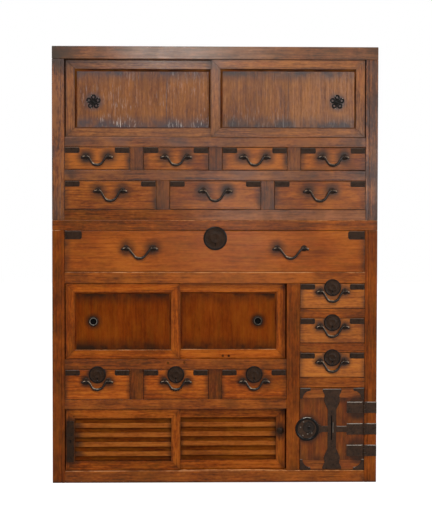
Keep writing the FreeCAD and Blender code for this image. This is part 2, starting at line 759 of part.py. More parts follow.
def sliding_doors():
    full = (IN_LEFT, IN_RIGHT)
    part = (IN_LEFT, POST_LEFT)
    panel_face = {track: "%s + panel_recess" % track for track in TRACKS}

    x, z = panel_door("upper_left_door", "left", full, DOOR_SILL, DOOR_HEAD, REAR_TRACK,
                      [LEFT_PLANK_SHARE])
    flower_pull("upper_left_pull", "%s + flower_inset" % x[0], "%s - flower_drop" % z[1],
                panel_face[REAR_TRACK])
    x, z = panel_door("upper_right_door", "right", full, DOOR_SILL, DOOR_HEAD, FRONT_TRACK,
                      [RIGHT_PLANK_SHARE])
    flower_pull("upper_right_pull", "%s - flower_inset" % x[1], "%s - flower_drop" % z[1],
                panel_face[FRONT_TRACK])

    x, z = panel_door("panel_left_door", "left", part, PANEL_SILL, PANEL_HEAD, FRONT_TRACK, [])
    cup_pull("panel_left_pull", "%s + cup_inset" % x[0], "%s - cup_drop" % z[1], panel_face[FRONT_TRACK])
    x, z = panel_door("panel_right_door", "right", part, PANEL_SILL, PANEL_HEAD, REAR_TRACK, [])
    cup_pull("panel_right_pull", "%s - cup_inset" % x[1], "%s - cup_drop" % z[1], panel_face[REAR_TRACK])

    x, z = slat_door("slat_left_door", "left", part, SLAT_SILL, SLAT_HEAD, FRONT_TRACK)
    middle = "%s + slat_frame_bar / 2" % x[0]
    node("slat_left_plate", [board(
        ("%s - bar_plate_width / 2" % middle, "%s + bar_plate_width / 2" % middle),
        ("%s - pull_plate" % FRONT_TRACK, FRONT_TRACK),
        ("%s + bar_plate_sill" % z[0], "%s + bar_plate_sill + bar_plate_height" % z[0]))])
    x, z = slat_door("slat_right_door", "right", part, SLAT_SILL, SLAT_HEAD, REAR_TRACK)
    node("slat_right_knob", [place(disc("knob_radius", "pull_plate", CUP_SIDES),
                                   "%s - slat_frame_bar / 2" % x[1], REAR_TRACK, "%s - knob_drop" % z[1])])


# Hinged safe door.

SAFE_X = ("%s + safe_play" % POST_RIGHT, "%s - safe_play" % IN_RIGHT)
SAFE_Z = ("%s + safe_play" % SLAT_SILL, "%s - safe_play" % SAFE_HEAD)
SAFE_FACE = "%s - drawer_proud" % FRONT
SAFE_MIDDLE = "((%s) + (%s)) / 2" % (SAFE_Z[0], SAFE_Z[1])
PIVOT_Y = "%s - hinge_standoff" % SAFE_FACE
HINGE_LEVELS = ["%s + hinge_offset" % SAFE_MIDDLE, SAFE_MIDDLE, "%s - hinge_offset" % SAFE_MIDDLE]


def safe_door():
    """An upright board between two level battens."""
    y = (SAFE_FACE, "%s + safe_board" % SAFE_FACE)
    low = "%s + safe_batten" % SAFE_Z[0]
    high = "%s - safe_batten" % SAFE_Z[1]
    node("safe_door", [board(SAFE_X, y, (SAFE_Z[0], low)), board(SAFE_X, y, (low, high)),
                       board(SAFE_X, y, (high, SAFE_Z[1]))])


def strap_shape(height):
    """The upright strap, flared at both ends over a waist and a bead."""
    head = size["strap_head"]
    half = size["strap_width"] / 2
    widths = {"flare": size["strap_flare"] / 2, "flare_end": size["strap_flare"] / 2,
              "waist": size["strap_waist"] / 2, "bead": size["strap_bead"] / 2,
              "bead_end": size["strap_waist"] / 2}
    edge = [(widths[name], height / 2 - head * share) for name, share in STRAP_HEAD_SHARES.items()]
    edge.append((half, height / 2 - head))
    right = edge + [(x, -z) for x, z in reversed(edge)]
    left = [(-x, z) for x, z in reversed(right)]
    return outline_plate(right + left, size["iron_plate"])


def lock_and_arm_shape(reach):
    """The round lock plate whose arm tapers to the upright strap."""
    radius = size["safe_lock_radius"]
    half = size["arm_height"] / 2
    plate = Part.makeCylinder(radius, size["iron_plate"], FreeCAD.Vector(0, 0, 0), FreeCAD.Vector(0, -1, 0))
    root = radius * ARM_ROOT_SHARE
    neck = math.sqrt(radius ** 2 - root ** 2)
    upper = [(0, root), (neck, root), (radius + half, half), (reach, half)]
    arm = outline_plate(upper + [(x, -z) for x, z in reversed(upper)], size["iron_plate"])
    return plate.fuse(arm).removeSplitter()


def concave_corner():
    """A corner plate with a hollow curved inner edge, from the door's corner into the door."""
    side, web = size["safe_corner"], size["safe_corner_web"]
    bend = side - (side - web) * math.sqrt(0.5)
    path = [
        Part.makeLine((0, 0, 0), (side, 0, 0)),
        Part.makeLine((side, 0, 0), (side, 0, web)),
        Part.Arc(FreeCAD.Vector(side, 0, web), FreeCAD.Vector(bend, 0, bend),
                 FreeCAD.Vector(web, 0, side)).toShape(),
        Part.makeLine((web, 0, side), (0, 0, side)),
        Part.makeLine((0, 0, side), (0, 0, 0)),
    ]
    return Part.Face(Part.Wire(path)).extrude(FreeCAD.Vector(0, -size["iron_plate"], 0))


def safe_ironwork():
    """Strap, lock plate with its arms, corner plates and the door's hinge leaves."""
    posts = 2 * size["stile_width"] + 3 * size["post_width"]
    width = (size["case_width"] - posts) / 4 - 2 * size["safe_play"]
    rows = sum(size[name] for name in ("slat_opening", "low_rail", "lock_row", "sill_rail", "panel_opening"))
    column = 3 * size["column_row"] + 2 * size["column_rail"] + size["column_sill"]
    height = rows - column - 2 * size["safe_play"]
    middle = "((%s) + (%s)) / 2" % SAFE_X
    pieces = [place(shaped(strap_shape(height - 2 * size["strap_inset"])), middle, SAFE_FACE, SAFE_MIDDLE)]
    reach = width / 2 - size["strap_width"] / 2 - size["safe_lock_inset"]
    lock_x = "%s + safe_lock_inset" % SAFE_X[0]
    pieces.append(place(shaped(lock_and_arm_shape(reach)), lock_x, SAFE_FACE, SAFE_MIDDLE))
    corners = [(SAFE_X[0], SAFE_Z[0]), (SAFE_X[0], SAFE_Z[1]), (SAFE_X[1], SAFE_Z[1]), (SAFE_X[1], SAFE_Z[0])]
    for turns, (x, z) in enumerate(corners):
        corner = turn(shaped(concave_corner()), (0, 1, 0), turns * QUARTER_TURN)
        pieces.append(place(corner, x, SAFE_FACE, z))
    for level in HINGE_LEVELS:
        pieces.append(place(shaped(door_leaf_shape()), IN_RIGHT, PIVOT_Y, level))
    arm_z = ("%s - arm_height / 2" % SAFE_MIDDLE, "%s + arm_height / 2" % SAFE_MIDDLE)
    pieces.append(board(("%s + strap_width / 2" % middle, "%s - hinge_reach" % IN_RIGHT),
                        ("%s - iron_plate" % SAFE_FACE, SAFE_FACE), arm_z))
    pieces += safe_lock()
    node("safe_door_ironwork", pieces)


def safe_lock():
    """The lock case behind the safe door, with its bolt drawn in."""
    left = "%s + safe_lock_inset" % SAFE_X[0]
    back = "%s + safe_board" % SAFE_FACE
    y = (back, "%s + lock_case_depth" % back)
    z = tuple("%s %s safe_lock_case / 2" % (SAFE_MIDDLE, sign) for sign in "-+")
    bolt_z = tuple("%s %s lock_bolt_width / 2" % (SAFE_MIDDLE, sign) for sign in "-+")
    return [board((left, "%s + safe_lock_case" % left), y, z),
            board(("%s - lock_bolt_rise" % left, left), y, bolt_z)]


def forged_rod(radius, low, high):
    """An upright many-sided rod about the hinge line."""
    step = 2 * math.pi / ROD_SIDES
    corners = [FreeCAD.Vector(radius * math.cos(i * step), radius * math.sin(i * step), low)
               for i in range(ROD_SIDES)]
    return flat_face(corners).extrude(FreeCAD.Vector(0, 0, high - low))


def leaf_shape(side, reach, back, spans):
    """A hinge leaf on one side of the pin, with tongues that reach the pin where it has knuckles."""
    half = size["hinge_height"] / 2
    near = size["knuckle_radius"] + size["knuckle_gap"]
    front = back - size["hinge_leaf"]
    leaf = Part.makeBox(reach - near, size["hinge_leaf"], 2 * half, FreeCAD.Vector(near, front, -half))
    tongues = [Part.makeBox(near, size["hinge_leaf"], high - low, FreeCAD.Vector(0, front, low))
               for low, high in spans]
    barrels = [forged_rod(size["knuckle_radius"], low, high) for low, high in spans]
    shape = leaf.multiFuse(tongues + barrels)
    if side < 0:
        shape = shape.mirror(FreeCAD.Vector(0, 0, 0), FreeCAD.Vector(1, 0, 0))
    return shape


def knuckle_spans():
    """Heights of the middle knuckle, and of the two beyond it."""
    half = size["hinge_height"] / 2
    third = half / 3
    gap = size["knuckle_gap"]
    return [(-third, third)], [(-half, -third - gap), (third + gap, half)]


def door_leaf_shape():
    """The leaf on the door, bored for the pin."""
    half = size["hinge_height"] / 2
    leaf = leaf_shape(-1, size["hinge_reach"], size["hinge_standoff"], knuckle_spans()[0])
    flats = math.cos(math.pi / ROD_SIDES)
    bore = forged_rod((size["hinge_pin"] + size["hinge_fit"]) / flats, -half, half)
    return leaf.cut(bore).removeSplitter()


def case_leaf_shape():
    """The leaf on the case, with the pin held in its two knuckles."""
    half = size["hinge_height"] / 2
    back = size["hinge_standoff"] + size["drawer_proud"]
    leaf = leaf_shape(1, size["stile_width"], back, knuckle_spans()[1])
    pin = forged_rod(size["hinge_pin"], -half, half)
    return leaf.fuse(pin).removeSplitter()


def case_hinge_leaves():
    leaves = [place(shaped(case_leaf_shape()), IN_RIGHT, PIVOT_Y, level) for level in HINGE_LEVELS]
    node("case_hinge_leaves", leaves)


lower_case()
upper_case()
for i in range(4):
    drawer("small_drawer_%d" % (i + 1), small_left(i), SMALL_WIDTH, SMALL_SILL, "small_row",
           "small_span", SMALL_BAIL, "small_eye_drop")
for i in range(3):
    drawer("wide_drawer_%d" % (i + 1), wide_left(i), WIDE_WIDTH, WIDE_SILL, "wide_row",
           "wide_span", WIDE_BAIL, "wide_eye_drop")
robe_drawer()
for i in range(3):
    drawer("lock_drawer_%d" % (i + 1), small_left(i), SMALL_WIDTH, LOCK_SILL, "lock_row",
           "small_span", SMALL_BAIL, "lock_eye_drop", "lock_drop")
for i in range(3):
    lift = "%d * column_lift" % (2 - i)
    drawer("column_drawer_%d" % (i + 1), POST_RIGHT, SMALL_WIDTH, COLUMN_SILLS[i], "column_row",
           "wide_span", WIDE_BAIL, "(column_eye_drop - %s)" % lift, "(lock_drop - %s)" % lift)
sliding_doors()
safe_door()
safe_ironwork()
case_hinge_leaves()

doc.recompute()
faults = [item.Name for item in doc.Objects if "Invalid" in item.State or "Error" in item.State]
if faults:
    raise RuntimeError("objects that did not build: %s" % faults)
for item in nodes:
    if item.Shape.isNull() or not item.Shape.isValid():
        raise RuntimeError("bad shape: %s" % item.Label)
for item in nodes:
    item.Shape.exportStep("parts/%s.step" % item.Label)
print(len(nodes), "sub-parts")
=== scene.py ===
import json
import math
import random

import bmesh
import bpy
from mathutils import Matrix, Vector

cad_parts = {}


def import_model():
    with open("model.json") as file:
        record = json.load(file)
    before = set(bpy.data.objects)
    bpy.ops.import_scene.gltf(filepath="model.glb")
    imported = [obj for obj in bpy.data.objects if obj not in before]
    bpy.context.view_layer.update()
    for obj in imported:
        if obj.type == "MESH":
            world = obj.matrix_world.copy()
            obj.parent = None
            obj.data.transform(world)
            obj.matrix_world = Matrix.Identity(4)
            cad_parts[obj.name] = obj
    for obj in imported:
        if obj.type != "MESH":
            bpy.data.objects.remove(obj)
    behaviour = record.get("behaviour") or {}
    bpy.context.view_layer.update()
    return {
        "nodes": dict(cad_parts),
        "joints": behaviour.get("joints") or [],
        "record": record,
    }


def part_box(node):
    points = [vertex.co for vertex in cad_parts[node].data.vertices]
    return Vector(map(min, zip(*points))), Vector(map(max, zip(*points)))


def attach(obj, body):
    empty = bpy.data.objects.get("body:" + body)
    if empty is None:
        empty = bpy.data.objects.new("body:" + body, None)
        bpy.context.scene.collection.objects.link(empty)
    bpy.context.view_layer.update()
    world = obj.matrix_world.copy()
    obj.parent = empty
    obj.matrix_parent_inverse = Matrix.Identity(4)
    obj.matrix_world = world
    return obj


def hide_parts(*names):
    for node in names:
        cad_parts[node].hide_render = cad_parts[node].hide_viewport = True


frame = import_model()

MM = 0.001
GRAIN_X, GRAIN_Z = 0, 2
# An iron's mark on wood is its (x, z, radius). Of a board's three, the spare ones lie far off.
IRON_COLUMNS = ("iron_a", "iron_b", "iron_c")
FAR_IRON = (-9.0, -9.0, 0.0)
SHARP_EDGE = math.radians(25)
FLAT_EDGE = math.radians(1)
BLENDED = 0.62
KEY_DIGITS = 5


# Meshes: splitting a CAD node into its boards, and joining finished boards into one piece.

def solids_of(node):
    """The closed solids of a CAD node, each as a mesh of its own."""
    mesh = frame["nodes"][node].data
    points = [vertex.co.copy() for vertex in mesh.vertices]
    keys = [tuple(round(c, KEY_DIGITS) for c in point) for point in points]
    open_edges = {}
    solids, current = [], []
    for polygon in mesh.polygons:
        corners = list(polygon.vertices)
        current.append([(keys[i], points[i]) for i in corners])
        for i in range(len(corners)):
            a, b = keys[corners[i]], keys[corners[(i + 1) % len(corners)]]
            if open_edges.get((b, a)):
                open_edges[(b, a)] -= 1
                if not open_edges[(b, a)]:
                    del open_edges[(b, a)]
            else:
                open_edges[(a, b)] = open_edges.get((a, b), 0) + 1
        if not open_edges:
            solids.append(solid_mesh(current))
            current = []
    return solids


def solid_mesh(triangles):
    """A clean mesh from triangles of (key, point), with flat faces instead of triangles."""
    bm = bmesh.new()
    seen = {}
    for triangle in triangles:
        corners = []
        for key, point in triangle:
            if key not in seen:
                seen[key] = bm.verts.new(point)
            corners.append(seen[key])
        if len(set(corners)) == 3 and not bm.faces.get(corners):
            bm.faces.new(corners)
    bmesh.ops.dissolve_limit(bm, angle_limit=FLAT_EDGE, verts=bm.verts, edges=bm.edges)
    bmesh.ops.recalc_face_normals(bm, faces=bm.faces)
    return bm


def soften(bm, width, segments=2):
    """Round the sharp edges of a solid, and give back the new narrow faces."""
    sharp = [edge for edge in bm.edges
             if len(edge.link_faces) == 2 and edge.calc_face_angle(0) > SHARP_EDGE]
    made = bmesh.ops.bevel(bm, geom=sharp, offset=width, segments=segments, profile=0.5,
                           affect="EDGES", clamp_overlap=True)
    return made["faces"]


def extent(bm):
    low = Vector([min(vertex.co[i] for vertex in bm.verts) for i in range(3)])
    high = Vector([max(vertex.co[i] for vertex in bm.verts) for i in range(3)])
    return low, high


def corner_normals(bm, even):
    """Normals of face corners: unless even, the narrow faces blend into the flat ones."""
    bm.normal_update()
    weight = {face: 1.0 if even else face.calc_area() ** 2 + 1e-16 for face in bm.faces}
    normals = []
    for face in bm.faces:
        for loop in face.loops:
            total = Vector((0, 0, 0))
            for other in loop.vert.link_faces:
                if other.normal.dot(face.normal) > BLENDED:
                    total += other.normal * weight[other]
            normals.append(total.normalized() if total.length > 0 else face.normal.copy())
    return normals


class Piece:
    """Gathers parts into one mesh, with the attributes that its materials read."""

    def __init__(self, node, ending="_forged"):
        self.node, self.name = node, node + ending
        self.vertices, self.faces, self.materials, self.normals = [], [], [], []
        self.slots = []
        names = ("grain_at", "from_low", "from_high", "board_tone") + IRON_COLUMNS
        self.columns = {column: [] for column in names}

    def add(self, bm, material, smooth=False, grain=None, seed=0, irons=(), edges=(),
            edge_material=None):
        """Take in a part, with its grain along its longest side or the axis given."""
        start = len(self.vertices)
        for used in (material, edge_material):
            if used and used not in self.slots:
                self.slots.append(used)
        index = self.slots.index(material)
        edge_index = self.slots.index(edge_material) if edge_material else index
        edges = set(edges)
        bm.verts.index_update()
        low, high = extent(bm)
        span = high - low
        if grain is None:
            grain = max(range(3), key=lambda i: span[i])
        order = [grain] + sorted((i for i in range(3) if i != grain), key=lambda i: -span[i])
        luck = random.Random(seed)
        shift = Vector([luck.uniform(-9, 9) for _ in range(3)])
        tone = (luck.random(), 0.0, 0.0)
        irons = list(irons) + [FAR_IRON] * (len(IRON_COLUMNS) - len(irons))
        middle = (low + high) / 2
        for vertex in bm.verts:
            point = vertex.co
            self.vertices.append(tuple(point))
            grain_at = [point[i] - middle[i] + shift[k] for k, i in enumerate(order)]
            self.columns["grain_at"].append(grain_at)
            self.columns["from_low"].append([point[i] - low[i] for i in order])
            self.columns["from_high"].append([high[i] - point[i] for i in order])
            self.columns["board_tone"].append(tone)
            for name, iron in zip(IRON_COLUMNS, irons):
                self.columns[name].append(iron)
        self.normals += corner_normals(bm, smooth)
        for face in bm.faces:
            self.faces.append([start + vertex.index for vertex in face.verts])
            self.materials.append(edge_index if face in edges else index)
        bm.free()

    def finish(self):
        """Make the mesh, on the body of the CAD node that it replaces."""
        mesh = bpy.data.meshes.new(self.name)
        mesh.from_pydata(self.vertices, [], self.faces)
        for material in self.slots:
            mesh.materials.append(material)
        mesh.polygons.foreach_set("material_index", self.materials)
        mesh.polygons.foreach_set("use_smooth", [True] * len(self.faces))
        for name, values in self.columns.items():
            column = mesh.attributes.new(name, "FLOAT_VECTOR", "POINT")
            column.data.foreach_set("vector", [c for value in values for c in value])
        mesh.update()
        mesh.normals_split_custom_set(self.normals)
        item = bpy.data.objects.new(self.name, mesh)
        bpy.context.scene.collection.objects.link(item)
        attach(item, BODY_OF[self.node])
        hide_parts(self.node)


# Materials: a short way to write node trees.

def rgba(colour):
    """For the shader, a colour that is written in thousandths."""
    return (*(share / 1000 for share in colour), 1.0)


class Tree:
    """Adds nodes to a material and links them in the order in which they are named."""

    def __init__(self, name):
        self.material = bpy.data.materials.new(name)
        self.material.use_nodes = True
        self.nodes = self.material.node_tree.nodes
        self.links = self.material.node_tree.links
        self.shader = self.nodes["Principled BSDF"]

    def put(self, socket, value):
        if isinstance(value, bpy.types.NodeSocket):
            self.links.new(value, socket)
        else:
            socket.default_value = value

    def node(self, kind, **settings):
        item = self.nodes.new(kind)
        for name, value in settings.items():
            setattr(item, name, value)
        return item

    def math(self, operation, a, b=None, c=None, clamp=False):
        item = self.node("ShaderNodeMath", operation=operation, use_clamp=clamp)
        for socket, value in zip(item.inputs, (a, b, c)):
            if value is not None:
                self.put(socket, value)
        return item.outputs[0]

    def add_swing(self, value, centre, weight, total):
        """The total, plus a value's swing about its centre times a weight."""
        return self.math("MULTIPLY_ADD", self.math("SUBTRACT", value, centre), weight, total)

    def vector(self, operation, a, b=None):
        item = self.node("ShaderNodeVectorMath", operation=operation)
        for socket, value in zip(item.inputs, (a, b)):
            if value is not None:
                self.put(socket, value)
        return item.outputs["Value" if operation == "DISTANCE" else "Vector"]

    def attribute(self, name):
        return self.node("ShaderNodeAttribute", attribute_name=name).outputs["Vector"]

    def split(self, vector):
        item = self.node("ShaderNodeSeparateXYZ")
        self.put(item.inputs[0], vector)
        return item.outputs

    def join(self, x, y, z):
        item = self.node("ShaderNodeCombineXYZ")
        for socket, value in zip(item.inputs, (x, y, z)):
            self.put(socket, value)
        return item.outputs[0]

    def position(self):
        return self.node("ShaderNodeTexCoord").outputs["Object"]

    def noise(self, vector, scale, detail=2.0, roughness=0.5, distortion=0.0):
        item = self.node("ShaderNodeTexNoise")
        self.put(item.inputs["Vector"], vector)
        for name, value in (("Scale", scale), ("Detail", detail), ("Roughness", roughness),
                            ("Distortion", distortion)):
            self.put(item.inputs[name], value)
        return item.outputs["Fac"]

    def streaks(self, grain, stretch, *settings):
        """Noise drawn out along the grain: the smaller the stretch, the longer its streaks."""
        return self.noise(self.vector("MULTIPLY", grain, (stretch, 1, 1)), *settings)

    def fade(self, value, low, high, out_low=0.0, out_high=1.0):
        item = self.node("ShaderNodeMapRange", interpolation_type="SMOOTHSTEP", clamp=True)
        for socket, given in zip(item.inputs, (value, low, high, out_low, out_high)):
            self.put(socket, given)
        return item.outputs[0]

    def ramp(self, value, stops):
        item = self.node("ShaderNodeValToRGB")
        stripe = item.color_ramp
        while len(stripe.elements) < len(stops):
            stripe.elements.new(0.5)
        for element, (place, colour) in zip(stripe.elements, stops):
            element.position = place
            element.color = rgba(colour)
        self.put(item.inputs[0], value)
        return item.outputs[0]

    def mix(self, share, a, b):
        item = self.node("ShaderNodeMix", data_type="RGBA", blend_type="MIX")
        self.put(item.inputs[0], share)
        for socket, value in ((item.inputs[6], a), (item.inputs[7], b)):
            self.put(socket, value if isinstance(value, bpy.types.NodeSocket) else rgba(value))
        return item.outputs[2]

    def bump(self, height, strength, distance):
        item = self.node("ShaderNodeBump")
        self.put(item.inputs["Height"], height)
        item.inputs["Strength"].default_value = strength
        item.inputs["Distance"].default_value = distance
        return item.outputs[0]


# Streaks of the wood's colour: stretch along the grain, scale, detail, roughness and distortion
# of the noise, its weight in the colour, and whether that weight follows the board's streaks.
STREAKS = {
    "broad": ((0.1, 30.0, 2.0, 0.5, 0.2), 0.9, True),
    "mottle": ((0.3, 42.0, 3.0, 0.6, 0.3), 0.7, False),
    "fine": ((0.045, 165.0, 3.0, 0.7, 0.1), 1.75, True),
    "dash": ((0.09, 250.0, 2.0, 0.6), 1.2, True),
    "hair": ((0.015, 620.0, 2.0, 0.6), 0.8, True),
    "speck": ((0.4, 170.0, 2.0, 0.6), 1.2, True),
}
RING_SPACING, RING_BEND, RING_WEIGHT, RING_MEAN = 120.0, 7.0, 0.22, 0.25
BLOTCH_WEIGHT, BOARD_WEIGHT = 1.1, 0.3
RED_BROWN, YELLOW_BROWN = (200, 18, 2), (300, 105, 8)
# The dark colour of soiling, which also paints shade.
OIL_GRIME_AND_SHADE = (24, 9.5, 4)
# Colours: a painted sheen (a pale reflection painted on the wood), bloom, and pale streaks that are
# scratch marks and painted glints.
SHEEN_COLOUR, BLOOM, DUST_AND_GLINT = (400, 290, 220), (95, 50, 40), (500, 420, 370)
# Where along a board the painted sheen rises, holds, turns and stops, in metres.
SHEEN_SPAN = (0.08, 0.32, 0.5, 0.75)
# Height of the painted shade along the foot of the case, by the floor.
FOOT_SHADE_HEIGHT = 0.012


def iron_marks(tree, here, cloud, halo):
    """Dark stains round the irons that a board carries."""
    marks = None
    for iron in IRON_COLUMNS:
        spot = tree.split(tree.attribute(iron))
        reach = tree.vector("DISTANCE", here, tree.join(spot[0], spot[1], 0.0))
        mark = tree.fade(tree.math("SUBTRACT", reach, spot[2]), 0.0, halo, 0.95, 0.0)
        marks = mark if marks is None else tree.math("MAXIMUM", marks, mark)
    return tree.math("MULTIPLY", marks, tree.fade(cloud, 0.3, 0.7, 0.7, 1.1))


def scratches_and_glints(tree, grain):
    """Pale streaks along the grain, most of them near a board's lower end: scratch marks, and
    painted glints of the brushed grain.
    """
    fine = tree.fade(tree.streaks(grain, 0.1, 260.0, 2.0, 0.7), 0.57, 0.66)
    where = tree.fade(tree.streaks(grain, 1.5, 9.0, 2.0, 0.5), 0.42, 0.6)
    near = tree.fade(tree.split(tree.attribute("from_low"))[0], 0.03, 0.1, 1.0, 0.2)
    return tree.math("MULTIPLY", tree.math("MULTIPLY", fine, where), near)


def sheen(tree, fine, painted_sheen, span):
    """A painted sheen: a pale reflection painted over a stretch of the board's length."""
    along = tree.split(tree.attribute("from_low"))[0]
    start, full, turn, stop = span
    rising = tree.fade(along, start, full, 0.0, painted_sheen)
    pale = tree.math("MULTIPLY", rising, tree.fade(along, turn, stop, 1.0, 0.25))
    return tree.math("MULTIPLY", pale, tree.fade(fine, 0.3, 0.7, 0.75, 1.2))


def wood(name, dark, middle, light, grime_and_shade=OIL_GRIME_AND_SHADE, ends=0.6, end_reach=0.03, sides=0.35,
         side_reach=0.008, seam_and_gap_shade=0.0, brush=0.0, roughness=0.18, streaks=0.8, dust_and_glints=0.0, halo=0.024,
         painted_sheen=0.0, foot_shade=0.0, bloom=0.0, red=0.3, shine=0.2, yellow=YELLOW_BROWN, patch=1.0,
         sheen_span=SHEEN_SPAN):
    """Oiled softwood, darker at its ends and sides (soiling, and painted shade next to a frame),
    along its joints and gaps (dark joints, and painted shade in the gaps), at its foot (painted
    shade) and round irons (halo, iron stains).

    The painted sheen is a pale painted reflection, bloom a pale trace of age, and the pale streaks
    are scratch marks and painted glints. All these are strengths, and reaches are metres.
    """
    tree = Tree(name)
    grain = tree.attribute("grain_at")
    tone = tree.split(tree.attribute("board_tone"))[0]
    margin = tree.split(tree.vector("MINIMUM", tree.attribute("from_low"),
                                    tree.attribute("from_high")))
    place = tree.position()
    blotch = tree.noise(place, 5.0, 3.0, 0.5)
    cloud = tree.noise(place, 17.0, 3.0, 0.6)

    level, noises = 0.5, {}
    for kind, (settings, weight, follows) in STREAKS.items():
        noises[kind] = tree.streaks(grain, *settings)
        level = tree.add_swing(noises[kind], 0.5, weight * streaks if follows else weight, level)
    bend = tree.noise(tree.vector("MULTIPLY", grain, (1.9, 7.0, 7.0)), 1.0, 2.0)
    across = tree.math("MULTIPLY", tree.split(grain)[1], RING_SPACING)
    lines = tree.math("MULTIPLY_ADD", bend, RING_BEND, across)
    rings = tree.math("POWER", tree.math("PINGPONG", lines, 1.0), 3.0)
    level = tree.add_swing(rings, RING_MEAN, -RING_WEIGHT * streaks, level)
    level = tree.add_swing(blotch, 0.5, BLOTCH_WEIGHT * patch, level)
    level = tree.add_swing(tone, 0.5, BOARD_WEIGHT, level)
    colour = tree.ramp(level, [(0.06, dark), (0.5, middle), (0.94, light)])
    warm = tree.fade(tree.streaks(grain, 0.3, 36.0, 3.0, 0.65), 0.4, 0.7, 0.0, 0.45)
    colour = tree.mix(warm, colour, tree.mix(0.5, colour, yellow))
    cool = tree.fade(noises["mottle"], 0.52, 0.75, 0.0, red)
    colour = tree.mix(cool, colour, tree.mix(0.6, colour, RED_BROWN))

    # Darker towards a board's ends and sides: soiling, and next to frames painted shade.
    end = tree.fade(tree.math("DIVIDE", margin[0], end_reach), 0.0, 1.0, ends, 0.0)
    side = tree.fade(tree.math("DIVIDE", margin[1], side_reach), 0.0, 1.0, sides, 0.0)
    uneven = tree.fade(cloud, 0.3, 0.72, 0.35, 1.25)
    edge_mark = tree.math("MULTIPLY", tree.math("MAXIMUM", end, side), uneven)
    x, _, z = tree.split(place)
    marks = iron_marks(tree, tree.join(x, z, 0.0), cloud, halo)
    dirt_and_shade = tree.math("MAXIMUM", edge_mark, marks, clamp=True)
    # Dark lines at a board's edges: real joints between planks, and painted shade in the gaps round
    # drawer fronts and along a panel's frame.
    if seam_and_gap_shade:
        nearest = tree.math("MINIMUM", margin[0], margin[1])
        dirt_and_shade = tree.math("MAXIMUM", dirt_and_shade, tree.fade(nearest, 0.0008, 0.0024, seam_and_gap_shade, 0.0))
    # Painted shade: the wood darkens towards the floor.
    if foot_shade:
        dirt_and_shade = tree.math("MAXIMUM", dirt_and_shade, tree.fade(z, 0.0, FOOT_SHADE_HEIGHT, foot_shade, 0.0))
    # A painted sheen: a pale reflection painted over part of the board's length.
    if painted_sheen:
        colour = tree.mix(sheen(tree, noises["fine"], painted_sheen, sheen_span), colour, SHEEN_COLOUR)
    if bloom:
        cold = tree.fade(tree.streaks(grain, 0.5, 12.0, 3.0, 0.55), 0.48, 0.7)
        colour = tree.mix(tree.math("MULTIPLY", cold, bloom), colour, BLOOM)
    colour = tree.mix(dirt_and_shade, colour, grime_and_shade)
    # Pale streaks: scratch marks, and painted glints on the brushed grain.
    if dust_and_glints:
        colour = tree.mix(tree.math("MULTIPLY", scratches_and_glints(tree, grain), dust_and_glints), colour, DUST_AND_GLINT)

    inputs = tree.shader.inputs
    tree.put(inputs["Base Color"], colour)
    tree.put(inputs["Roughness"], tree.math("MULTIPLY_ADD", cloud, 0.12, roughness - 0.06))
    inputs["Specular IOR Level"].default_value = shine
    hairs = tree.math("MULTIPLY", noises["hair"], 0.8 + brush)
    height = tree.math("MULTIPLY_ADD", noises["fine"], 0.9 + brush, hairs)
    tree.put(inputs["Normal"], tree.bump(height, 0.16 + 0.34 * brush, 0.0005 + 0.0013 * brush))
    return tree.material


def iron(name, dark, light, roughness=0.4, rust=0.3, metallic=0.0, pits=0.45, shine=0.5):
    """Forged iron, blackened and rubbed, with a hammered skin and traces of rust."""
    tree = Tree(name)
    place = tree.position()
    mottle = tree.noise(place, 75.0, 3.0, 0.6)
    grit = tree.noise(place, 380.0, 3.0, 0.65)
    level = tree.math("MULTIPLY_ADD", grit, 0.5, tree.math("MULTIPLY", mottle, 0.5))
    colour = tree.ramp(level, [(0.32, dark), (0.7, light)])
    stain = tree.fade(tree.noise(place, 90.0, 4.0, 0.7), 0.52, 0.7)
    colour = tree.mix(tree.math("MULTIPLY", stain, rust), colour, (40, 16, 7))
    inputs = tree.shader.inputs
    tree.put(inputs["Base Color"], colour)
    inputs["Metallic"].default_value = metallic
    inputs["Specular IOR Level"].default_value = shine
    tree.put(inputs["Roughness"], tree.math("MULTIPLY_ADD", mottle, 0.3, roughness - 0.15))
    height = tree.math("MULTIPLY_ADD", grit, 0.35, mottle)
    tree.put(inputs["Normal"], tree.bump(height, pits, 0.0018))
    return tree.material


CASE_UPPER = wood(
    "upper_case_oiled", (45, 12, 3), (157, 39, 6), (285, 84, 13), ends=0.7, end_reach=0.14,
    side_reach=0.006, streaks=0.85, bloom=0.5, shine=0.26, patch=1.8)
UPPER_STILE = wood(
    "upper_stiles_oiled", (45, 12, 3), (172, 44, 7), (320, 100, 17), ends=0.75, end_reach=0.06,
    sides=0.4, side_reach=0.006, streaks=1.2, bloom=0.7, shine=0.28, patch=2)
# The base rail carries a painted sheen, a pale reflection, towards its right end.
UPPER_BASE = wood(
    "upper_base_oiled", (70, 15, 3), (195, 43, 5), (325, 85, 11), ends=0.5, end_reach=0.06,
    side_reach=0.006, streaks=0.85, painted_sheen=0.2, shine=0.1, patch=1.5, sheen_span=(0.35, 0.6, 2, 3))
